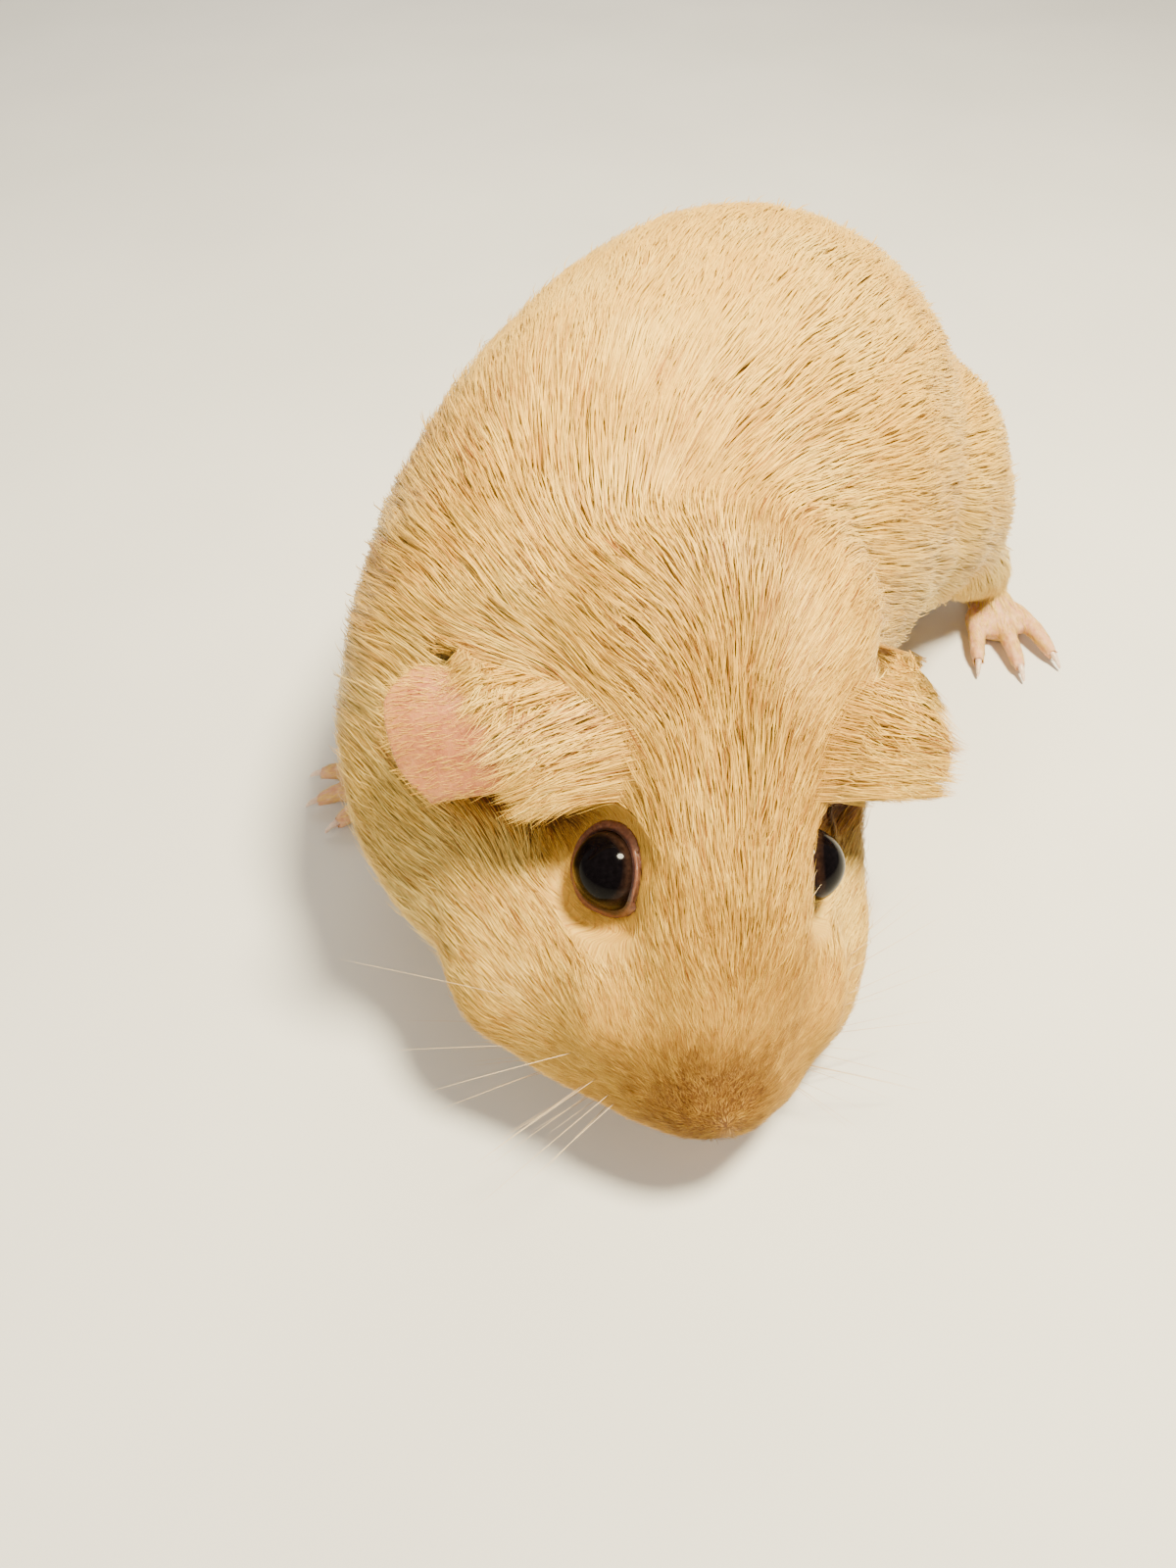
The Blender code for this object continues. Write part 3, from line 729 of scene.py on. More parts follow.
@dataclass(frozen=True)
class Lids:
    """The almond that both lids leave open, seen from the eye's centre."""

    centre: tuple[float, float, float] = (16.2, 1.6, -3.1)
    radius: float = 6.5
    tilt: float = math.radians(57)
    long_angle: float = math.radians(71)
    short_angle: float = math.radians(68)
    corner: float = math.radians(18)
    thick: float = 0.3
    # Across a lid: how far past the opening in degrees, and how far above the eyeball.
    profile: tuple[tuple[float, float], ...] = (
        (-3.0, -0.12),
        (-1.0, 0.06),
        (0.8, 0.36),
        (3.0, 0.66),
        (6.0, 0.78),
        (9.5, 0.62),
        (14.0, 0.3),
    )
    # The share of a lid's breadth after which it runs out into the skin.
    hold: float = 0.45
    columns: int = 96
    rows: int = 12

    def axes(self, side: Side) -> tuple[Array, Array, Array, Array]:
        """The eye's centre and its outward, forward and upward ways, in the head's frame."""
        sign = side.value
        outward = np.array((sign * math.sin(self.tilt), 0.0, math.cos(self.tilt)))
        upward = np.array((-sign * math.cos(self.tilt), 0.0, math.sin(self.tilt)))
        return np.array(self.centre) * (sign, 1, 1), outward, np.array((0.0, -1.0, 0.0)), upward

    def edge(self, turn: Array) -> Array:
        """How far the opening reaches from the eye's outward way, at each turn round it."""
        ahead, above = np.cos(turn), np.sin(turn)
        almond = np.hypot(self.long_angle * ahead, self.short_angle * above)
        return almond + self.corner * np.maximum(0, ahead) ** 4

    def seen(self, side: Side, points: Array) -> tuple[Array, Array, Array]:
        """Where points lie as seen from the eye's centre.

        Args:
            side: The eye's side.
            points: Places in the head's frame.

        Returns:
            Their distance from the centre, their angle from the outward way, and the angle that
            the opening reaches there.
        """
        centre, outward, forward, upward = self.axes(side)
        away = points - centre
        distance = np.linalg.norm(away, axis=-1)
        angle = np.arccos(np.clip(away @ outward / np.maximum(distance, 1e-9), -1, 1))
        turn = np.arctan2(away @ upward, away @ forward)
        return distance, angle, self.edge(turn)

    def spot(self, side: Side, turn: float, v: float, skin: "Skin") -> Array:
        """A place on a lid's outer face.

        Args:
            side: The eye's side.
            turn: The way from the eye's middle, round the opening.
            v: From the wet edge, 0, to the lid's end under the coat, 1.
            skin: The skin that the lid runs into.

        Returns:
            The place in the head's frame.
        """
        centre, outward, forward, upward = self.axes(side)
        # Lids are broadest just below the front corner.
        wide = 1.0 + 0.3 * math.exp(-(math.remainder(turn + 0.47, math.tau) ** 2) / 0.5)
        past, above = spline(self.profile, np.array(v * (len(self.profile) - 1)))
        angle = float(self.edge(np.array(turn))) + math.radians(float(past) * wide)
        rim = forward * math.cos(turn) + upward * math.sin(turn)
        way = outward * math.cos(angle) + rim * math.sin(angle)
        fold = 0.12 * math.sin(9 * turn + 5 * v) * v
        reach = self.radius + float(above) + fold
        if v <= self.hold:
            return centre + way * reach
        meet = skin.along(Place.from_head(centre), HEAD_TURN @ way, self.radius + 0.2)
        blend = (v - self.hold) / (1 - self.hold)
        under = self.radius - 0.4 if meet is None else min(meet, self.radius + 1.9)
        under += 0.35 - 0.6 * blend
        return centre + way * (reach * (1 - blend) + under * blend)

    def build(self, side: Side, place: Place, skin: "Skin") -> bpy.types.Object:
        """One eye's lids: a rounded wet edge that swells and runs out under the coat.

        Args:
            side: The eye's side.
            place: Sets the frames.
            skin: The skin that the lids run into.

        Returns:
            The lids as one closed ring.
        """
        bm = bmesh.new()
        bmesh.ops.create_grid(bm, x_segments=self.columns, y_segments=self.rows, size=0.5)
        across = bm.verts.layers.float.new("across")
        for vert in bm.verts:
            turn, v = math.tau * (vert.co.x + 0.5), vert.co.y + 0.5
            spot = self.spot(side, turn, v, skin)
            vert.co = Vector(place.set(Place.from_head(spot)))
            in_corner = math.exp(-((math.remainder(turn, math.tau) / 0.3) ** 2))
            vert[across] = v * (1 - 0.6 * in_corner * (1 - v))
        bmesh.ops.remove_doubles(bm, verts=bm.verts, dist=2e-5)
        bmesh.ops.recalc_face_normals(bm, faces=bm.faces)
        bmesh.ops.solidify(bm, geom=bm.faces[:], thickness=self.thick * MM)
        bmesh.ops.recalc_face_normals(bm, faces=bm.faces)
        return from_bmesh(f"lids_{side.word}", bm)


@dataclass(frozen=True)
class Eye:
    """An eyeball with a slightly bulging cornea."""

    lids: Lids
    bulge: float = 0.35
    bulge_angle: float = 0.42
    around: int = 64
    rings: int = 40

    def build(self, side: Side, place: Place) -> bpy.types.Object:
        """The eyeball in place, with the angle to its gaze stored for its rings.

        Args:
            side: The eye's side.
            place: Sets the frames.

        Returns:
            The eyeball.
        """
        centre, outward, _, _ = self.lids.axes(side)
        turn = Vector(outward).to_track_quat("Z", "Y").to_matrix()
        bm = bmesh.new()
        bmesh.ops.create_uvsphere(bm, u_segments=self.around, v_segments=self.rings, radius=1.0)
        gaze = bm.verts.layers.float.new("gaze")
        for vert in bm.verts:
            vert[gaze] = math.acos(max(-1.0, min(1.0, vert.co.z))) / (math.pi / 2)
            reach = self.lids.radius + self.bulge * math.exp(-((vert[gaze] / self.bulge_angle) ** 2))
            vert.co = Vector(place.set(Place.from_head(centre + np.array(turn @ vert.co) * reach)))
        bmesh.ops.recalc_face_normals(bm, faces=bm.faces)
        return from_bmesh(f"eyeball_{side.word}", bm)


@dataclass
class Region:
    """What grows over one stretch of the body, in millimetres."""

    depth: float
    length: float
    width: float
    density: float


REGIONS = {
    "head": Region(1.6, 8.0, 0.2, 3.4),
    "neck": Region(2.2, 14.0, 0.24, 2.1),
    "torso": Region(2.1, 12.0, 0.25, 1.34),
    "hindleg_left": Region(1.9, 10.5, 0.25, 1.6),
    "hindleg_right": Region(1.9, 10.5, 0.25, 1.4),
    "foreleg_left": Region(1.3, 7.0, 0.22, 1.4),
    "foreleg_right": Region(1.3, 7.0, 0.22, 1.9),
    "hindfoot_left": Region(0.12, 2.6, 0.16, 2.2),
    "hindfoot_right": Region(0.12, 2.6, 0.16, 1.4),
    "forefoot_left": Region(0.12, 2.2, 0.16, 1.4),
    "forefoot_right": Region(0.12, 2.2, 0.16, 2.2),
}
# The head's hair at the nose and at the crown.
NOSE_HAIR = Region(0.5, 2.1, 0.12, 9.4)
CROWN_HAIR = Region(1.7, 10.5, 0.2, 3.8)
# The place on the nose that the head's hair lies away from, in the head's frame.
WHORL = (0, -33, -9)


@dataclass(frozen=True)
class Patch:
    """A soft patch of the markings: where it lies, and how much more tan it is."""

    centre: tuple[float, float, float]
    radii: tuple[float, float, float]
    tan: float


# The nose, the whole face, the crown, and the paler skin below each eye.
HEAD_PATCHES = (
    Patch((0, -34, -2), (13, 9.5, 10), 0.8),
    Patch((0, 2, 4), (30, 36, 24), 0.16),
    Patch((0, 34, 14), (24, 24, 24), 0.10),
    Patch((20, 4, -14), (12, 12, 9), -0.2),
)
RUMP_PATCH = Patch((22, 92, 70), (20, 18, 20), -0.24)


@dataclass(frozen=True)
class Fold:
    """A crease of the loose coat: its course in the drawing frame, its depth and half width."""

    course: tuple[tuple[float, float, float], ...]
    deep: float
    wide: float

    def press(self, points: Array) -> Array:
        """How far the fold draws each point in; beside the crease the coat swells a little."""
        course = spline(self.course, np.linspace(0, len(self.course) - 1, 24))
        gaps = np.min([np.linalg.norm(points - spot, axis=1) for spot in course], axis=0)
        swell = 0.4 * np.exp(-(((gaps - 2.2 * self.wide) / self.wide) ** 2))
        return self.deep * (np.exp(-((gaps / self.wide) ** 2)) - swell)


FOLDS = (
    Fold(((44, -4, 74), (52, 2, 60), (54, 6, 46)), 1.3, 3.2),
    Fold(((46, 8, 78), (56, 14, 62), (60, 18, 48)), 1.1, 3.0),
    Fold(((60, 30, 68), (66, 30, 54), (68, 30, 42)), 0.9, 2.6),
    Fold(((-22, -40, 88), (-36, -36, 80), (-48, -32, 66)), 0.8, 4.0),
)


@dataclass
class Skin:
    """One closed skin over all the flesh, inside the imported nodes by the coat's depth."""

    place: Place
    lids: Lids
    ears: Sequence["Ear"]
    voxel: float = field(default_factory=lambda: 0.64)
    closing: float = 0.25
    triangles: int = 186000
    thing: bpy.types.Object = field(init=False)
    points: Array = field(init=False)
    edges: Array = field(init=False)
    faces: Array = field(init=False)
    normals: Array = field(init=False)
    owner: Array = field(init=False)
    head_share: Array = field(init=False)
    neck_share: Array = field(init=False)
    foot_share: Array = field(init=False)
    depth: Array = field(init=False)
    length: Array = field(init=False)
    width: Array = field(init=False)
    density: Array = field(init=False)
    lie: Array = field(init=False)
    mark: Array = field(init=False)
    bare: Array = field(init=False)
    tree: BVHTree = field(init=False)

    def flesh(self) -> bpy.types.Object:
        """All flesh nodes copied, merged and swollen until their parting gaps close.

        Returns:
            One object of all of them.
        """
        whole = bmesh.new()
        for name in FLESH:
            bm = bmesh.new()
            bm.from_mesh(frame["nodes"][name].data)
            bmesh.ops.remove_doubles(bm, verts=bm.verts, dist=1e-6)
            bm.normal_update()
            for vert in bm.verts:
                vert.co += vert.normal * self.closing * MM
            mesh = bpy.data.meshes.new(name)
            bm.to_mesh(mesh)
            bm.free()
            whole.from_mesh(mesh)
            bpy.data.meshes.remove(mesh)
        return from_bmesh("skin", whole)

    def build(self) -> bpy.types.Object:
        """Makes the skin, with its markings and its flow map, and plans the coat over it.

        Returns:
            The skin's piece.
        """
        thing = self.flesh()
        remesh = thing.modifiers.new("whole", "REMESH")
        remesh.mode = "VOXEL"
        remesh.voxel_size = self.voxel * MM
        soften = thing.modifiers.new("soften", "SMOOTH")
        soften.factor = 0.5
        soften.iterations = 3
        settled(thing)
        count = sum(len(face.vertices) - 2 for face in thing.data.polygons)
        if count > self.triangles:
            thin = thing.modifiers.new("thin", "DECIMATE")
            thin.ratio = self.triangles / count
            settled(thing)
        bm = bmesh.new()
        bm.from_mesh(thing.data)
        bmesh.ops.triangulate(bm, faces=bm.faces)
        bm.to_mesh(thing.data)
        bm.free()
        self.thing = thing
        self.measure()
        self.soften_muzzle()
        self.label()
        self.plan()
        self.sink()
        self.store()
        return thing

    def measure(self) -> None:
        """Reads the mesh into arrays, in drawing millimetres."""
        mesh = self.thing.data
        self.points = self.place.drawn(read(mesh.vertices, "co", 3))
        self.edges = read(mesh.edges, "vertices", 2)
        self.faces = read(mesh.polygons, "vertices", 3)
        self.normals = self.face_normals_at_points()

    def face_normals_at_points(self) -> Array:
        """Each point's normal, from the faces around it."""
        a, b, c = (self.points[self.faces[:, k]] for k in range(3))
        ways = np.cross(b - a, c - a)
        sums = np.zeros_like(self.points)
        for k in range(3):
            for axis in range(3):
                sums[:, axis] += np.bincount(self.faces[:, k], ways[:, axis], len(self.points))
        return unit(sums)

    def spread(self, values: Array, rounds: int) -> Array:
        """Evens values out over the skin.

        Args:
            values: One number or one row for each point.
            rounds: How many times each point takes its neighbours' mean.

        Returns:
            The evened values.
        """
        flat = values.reshape(len(values), -1)
        one, two = self.edges[:, 0], self.edges[:, 1]
        count = len(flat)
        around = np.bincount(one, minlength=count) + np.bincount(two, minlength=count)
        for _ in range(rounds):
            sums = np.empty_like(flat)
            for k in range(flat.shape[1]):
                column = flat[:, k]
                sums[:, k] = np.bincount(one, column[two], count) + np.bincount(two, column[one], count)
            flat = 0.5 * flat + 0.5 * sums / around[:, None]
        return flat.reshape(values.shape)

    def soften_muzzle(self) -> None:
        """Evens out the hollows between the nose's bridge, the cheeks and the lids."""
        head = self.place.to_head(self.points)
        sides = mirrored(head)
        share = 1.6 * hill(sides, (13, -18, -7), (8, 15, 8))
        share += 1.6 * hill(sides, (26, -20, -11), (8, 10, 8))
        eyes = self.eye_distance(head)
        below = smooth_step(8.3, 9.6, eyes) * (1 - smooth_step(13, 15.5, eyes))
        share += 1.3 * below * (1 - smooth_step(-4, 4, head[:, 1]))
        share = np.clip(share, 0, 1)[:, None]
        for _ in range(90):
            self.points = self.points * (1 - share) + self.spread(self.points, 1) * share
        self.normals = self.face_normals_at_points()

    def eye_distance(self, head: Array) -> Array:
        """How far places of the head's frame are from the nearer eye's centre."""
        return np.min([self.lids.seen(side, head)[0] for side in Side], axis=0)

    def label(self) -> None:
        """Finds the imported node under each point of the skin."""
        corners, triangles, owners = [], [], []
        for index, name in enumerate(FLESH):
            mesh = frame["nodes"][name].data
            start = sum(len(block) for block in corners)
            corners.append(self.place.drawn(read(mesh.vertices, "co", 3)))
            tris = read(mesh.polygons, "vertices", 3)
            triangles.append(tris + start)
            owners.append(np.full(len(tris), index))
        tree = BVHTree.FromPolygons(
            np.concatenate(corners).tolist(), np.concatenate(triangles).tolist()
        )
        owner = np.concatenate(owners)
        self.owner = owner[[tree.find_nearest(point)[2] for point in self.points.tolist()]]

    def by_region(self, field_name: str) -> Array:
        """One of the regions' sizes at each point, evened out across their borders."""
        values = np.array([getattr(REGIONS[name], field_name) for name in FLESH])
        return self.spread(values[self.owner], 14)

    def share(self, names: Sequence[str], rounds: int) -> Array:
        """How much of each point belongs to these nodes, evened out across their borders."""
        inside = np.isin(self.owner, [FLESH.index(name) for name in names])
        return self.spread(inside.astype(float), rounds)

    def plan(self) -> None:
        """Works out the coat's depth, length, width, density, lie and markings at each point."""
        head = self.place.to_head(self.points)
        self.head_share = self.share(("head",), 10)
        self.neck_share = self.share(("neck",), 30)
        self.foot_share = self.share(tuple(FEET), 6)
        for name in ("depth", "length", "width", "density"):
            setattr(self, name, self.by_region(name))
        self.shorten_shins()
        self.refine_head(head)
        self.run_out(head)
        self.lie = self.lay(head)
        self.mark = self.marking(self.points, head)

    def shorten_shins(self) -> None:
        """Makes the coat short, fine and dense down the legs."""
        shin = self.share(LEGS, 8) * (1 - smooth_step(9, 26, self.points[:, 2]))
        self.depth = self.depth * (1 - 0.72 * shin)
        self.length = self.length * (1 - 0.6 * shin)
        self.width = self.width * (1 - 0.35 * shin)
        self.density = self.density * (1 + 0.9 * shin)

    def refine_head(self, head: Array) -> None:
        """Makes the head's coat short and fine on the nose, longer over the cheeks and the crown.

        Args:
            head: The skin's points in the head's frame.
        """
        x, y = np.abs(head[:, 0]), head[:, 1]
        back, thinner = smooth_step(-38, 24, y), smooth_step(-38, 4, y)
        cheek = smooth_step(16, 32, x) * smooth_step(-30, -8, y)
        for name, along, more in (
            ("depth", back, 0.4),
            ("length", back, 1.6),
            ("width", back, 0.0),
            ("density", thinner, 0.0),
        ):
            nose, crown = getattr(NOSE_HAIR, name), getattr(CROWN_HAIR, name)
            face = nose + (crown - nose) * along + more * cheek
            body = getattr(self, name)
            setattr(self, name, body * (1 - self.head_share) + face * self.head_share)

    def run_out(self, head: Array) -> None:
        """Lets the coat run out towards the eyes, the ears' roots, the nostrils and the lips.

        Args:
            head: The skin's points in the head's frame.
        """
        near_eye = 1 - smooth_step(7.4, 14.5, self.eye_distance(head))
        self.depth = self.depth * (1 - near_eye) + 0.25 * near_eye
        self.length = self.length * (1 - 0.64 * near_eye)
        self.width = self.width * (1 - 0.4 * near_eye)
        self.density = self.density * (1 + 0.9 * near_eye)
        roots = np.min([ear.distance(head) for ear in self.ears], axis=0)
        near_ear = 1 - smooth_step(2.5, 9.0, roots)
        self.depth = self.depth * (1 - 0.6 * near_ear)
        belly = smooth_step(0.55, 0.95, -self.normals[:, 2]) * (1 - self.head_share)
        self.density = self.density * (1 - 0.5 * belly)
        nostrils = hill(mirrored(head), (3.1, -40, -11), 2.8)
        lips = hill(mirrored(head), (0, -37.5, -20), (7, 6, 3.6))
        self.bare = np.clip(self.foot_share + 0.9 * nostrils + 0.8 * lips, 0, 1)
        self.depth = self.spread(self.depth, 6)
        self.density = self.density * (1 - 0.75 * np.clip(nostrils * 1.4, 0, 1))

    def lay(self, head: Array) -> Array:
        """The way that the coat lies at each point of the skin.

        Args:
            head: The skin's points in the head's frame.

        Returns:
            A unit vector along the skin for each point, in the drawing frame.
        """
        share = self.head_share[:, None]
        lie = self.lay_head(head) * share + self.lay_trunk() * (1 - share)
        for name in FEET:
            lie[self.owner == FLESH.index(name)] = (*toes(name), -0.15)
        lie = self.tangent(lie)
        for _ in range(4):
            lie = self.tangent(self.spread(lie, 5))
        return lie

    def lay_head(self, head: Array) -> Array:
        """The lie over the head: away from the whorl, back and down, and out along the ears.

        Args:
            head: The skin's points in the head's frame.

        Returns:
            A vector for each point, in the drawing frame.
        """
        x, y, z = head.T
        side = np.clip(x / 14, -1, 1)
        still = np.zeros_like(x)
        from_whorl = head - WHORL
        back = np.column_stack((0.16 * side, still + 1, still - 0.08))
        down = smooth_step(4, -14, z)
        back += down[:, None] * np.column_stack((0.25 * side, still, still - 0.55))
        crown = smooth_step(8, 34, y) * smooth_step(-10, 4, z)
        back += crown[:, None] * np.column_stack((0.95 * side, still, still))
        front = (1 - smooth_step(6, 20, np.linalg.norm(from_whorl, axis=1)))[:, None]
        lie = unit(unit(from_whorl) * front + unit(back) * (1 - front))
        for ear in self.ears:
            pull = 0.75 * np.exp(-((ear.distance(head) / 7.5) ** 2))[:, None]
            lie = lie * (1 - pull) + ear.outward() * pull
        for side in Side:
            apart = head - self.lids.axes(side)[0]
            reach = np.exp(-((np.linalg.norm(apart, axis=1) / 11.5) ** 4))[:, None]
            lie = lie + 0.7 * reach * unit(apart)
        return lie @ HEAD_TURN.T

    def lay_trunk(self) -> Array:
        """The lie over the trunk and legs: back along the spine, down on the sides and the legs.

        Returns:
            A unit vector for each point, in the drawing frame.
        """
        points = self.points
        bend = np.interp(points[:, 1], SPINE[:, 1], np.gradient(SPINE[:, 0], SPINE[:, 1]))
        middle = np.interp(points[:, 1], SPINE[:, 1], SPINE[:, 0])
        aside = np.clip((points[:, 0] - middle) / 48, -1, 1)
        rear = smooth_step(0.2, 0.9, self.normals[:, 1])
        droop = 0.12 + 0.55 * np.abs(self.normals[:, 0]) + 0.9 * rear
        lie = np.column_stack((bend, np.ones_like(bend), -droop))
        lie[:, 0] += 0.7 * smooth_step(20, -40, points[:, 1]) * aside
        limb = np.isin(self.owner, [FLESH.index(name) for name in LEGS])
        low = 1 - smooth_step(14, 34, points[:, 2])
        lie[limb] += low[limb, None] * np.array((0, -0.75, -1.1))
        return unit(lie)

    def tangent(self, ways: Array) -> Array:
        """Ways laid flat on the skin, at length 1."""
        return unit(ways - np.sum(ways * self.normals, axis=1, keepdims=True) * self.normals)

    @staticmethod
    def under_ears(head: Array) -> Array:
        """How deep places of the head's frame lie in the hollow under an ear, from 0 to 1; it sinks the
        skin there and also paints shade into the coat's colour.
        """
        return np.clip(1.5 * hill(mirrored(head), (28, 10.5, -8), (8.5, 4.6, 5.5)), 0, 1)

    @staticmethod
    def marking(points: Array, head: Array) -> Array:
        """How tan the coat is, from 0 for cream to 1 for tan, with painted shade in the hollow under
        each ear.

        Args:
            points: Places in the drawing frame.
            head: The same places in the head's frame.

        Returns:
            One value for each place.
        """
        x, y, z = np.abs(head[:, 0]), head[:, 1], points[:, 2]
        tone = np.full(len(points), 0.42)
        for patch in HEAD_PATCHES:
            tone += patch.tan * hill(mirrored(head), patch.centre, patch.radii)
        tone += RUMP_PATCH.tan * hill(points, RUMP_PATCH.centre, RUMP_PATCH.radii)
        # Painted shade: the hollow under each ear is marked darker tan.
        tone += 0.7 * Skin.under_ears(head)
        cheek = smooth_step(16, 30, x) * smooth_step(-34, -16, y) * (1 - smooth_step(30, 50, y))
        flank = (1 - smooth_step(24, 74, z)) * smooth_step(-60, -30, points[:, 1])
        tone -= 0.2 * cheek + 0.26 * flank
        tone += 0.09 * ripple(points, 34, 5) + 0.05 * ripple(points, 13, 6)
        return np.clip(tone, 0, 1)

    def sink(self) -> None:
        """Draws the skin in by the coat's depth, and presses its folds."""
        drop = self.depth + self.closing + 1.6 * self.under_ears(self.place.to_head(self.points))
        for fold in FOLDS:
            drop = drop + fold.press(self.points)
        furred = (1 - self.foot_share) * (1 - 0.8 * self.head_share)
        drop = drop + 0.21 * furred * ripple(self.points, 17, 11)
        self.points = self.points - self.normals * drop[:, None]
        self.open_lids()
        self.points[:, 2] = np.maximum(self.points[:, 2], 0.02)
        self.normals = self.face_normals_at_points()
        self.lie = self.tangent(self.lie)
        self.tree = BVHTree.FromPolygons(self.points.tolist(), self.faces.tolist())

    def open_lids(self) -> None:
        """Draws the skin back from each eye, to just outside the edge of the lids."""
        head = self.place.to_head(self.points)
        for side in Side:
            centre, outward, _, _ = self.lids.axes(side)
            distance, angle, edge = self.lids.seen(side, head)
            first, fresh, last = edge - math.radians(12), edge + math.radians(2), edge + math.radians(18)
            share = np.clip((angle - first) / (last - first), 0, 1)
            turned = np.where(angle < last, fresh + share * (last - fresh), angle)
            turned = angle + (turned - angle) * (1 - smooth_step(9.5, 12.0, distance))
            away = head - centre
            aside = unit(away - (away @ outward)[:, None] * outward)
            moved = outward * np.cos(turned)[:, None] + aside * np.sin(turned)[:, None]
            head = np.where((distance < 12)[:, None], centre + moved * distance[:, None], head)
        self.points = self.place.from_head(head)

    def store(self) -> None:
        """Writes the points, the markings and the flow map back to the mesh."""
        mesh = self.thing.data
        mesh.vertices.foreach_set("co", self.place.set(self.points).astype(np.float32).ravel())
        set_attribute(mesh, "mark", self.mark)
        set_attribute(mesh, "bare", self.bare)
        flow = mesh.uv_layers.new(name="flow")
        uv = self.unwrap(self.points)[self.faces.ravel()]
        flow.data.foreach_set("uv", uv.astype(np.float32).ravel())
        mesh.shade_smooth()
        mesh.update()

    @staticmethod
    def unwrap(points: Array) -> Array:
        """A map of the skin: the angle round the body's middle line, and the place along it.

        Args:
            points: Places in the drawing frame.

        Returns:
            Both map values, between 0 and 1.
        """
        line = np.vstack((Place.from_head(((0, -42, -10), (0, -20, -9), (0, 0, -8))), SPINE[2:]))
        y = points[:, 1]
        across = points[:, 0] - np.interp(y, line[:, 1], line[:, 0])
        above = points[:, 2] - np.interp(y, line[:, 1], line[:, 2])
        angle = np.arctan2(across, above) / math.tau + 0.5
        along = (y + 118) / 240
        return np.clip(np.column_stack((angle, along)), 0.002, 0.998)

    def along(self, start: Array, way: Array, least: float) -> float | None:
        """How far the skin is from a place, along a way.

        Args:
            start: The place in the drawing frame.
            way: The way to look.
            least: The distance where the search starts.

        Returns:
            The distance, or None where nothing is met.
        """
        hit = self.tree.ray_cast(Vector(start + way * least), Vector(way), 12.0)
        return None if hit[0] is None else least + hit[3]


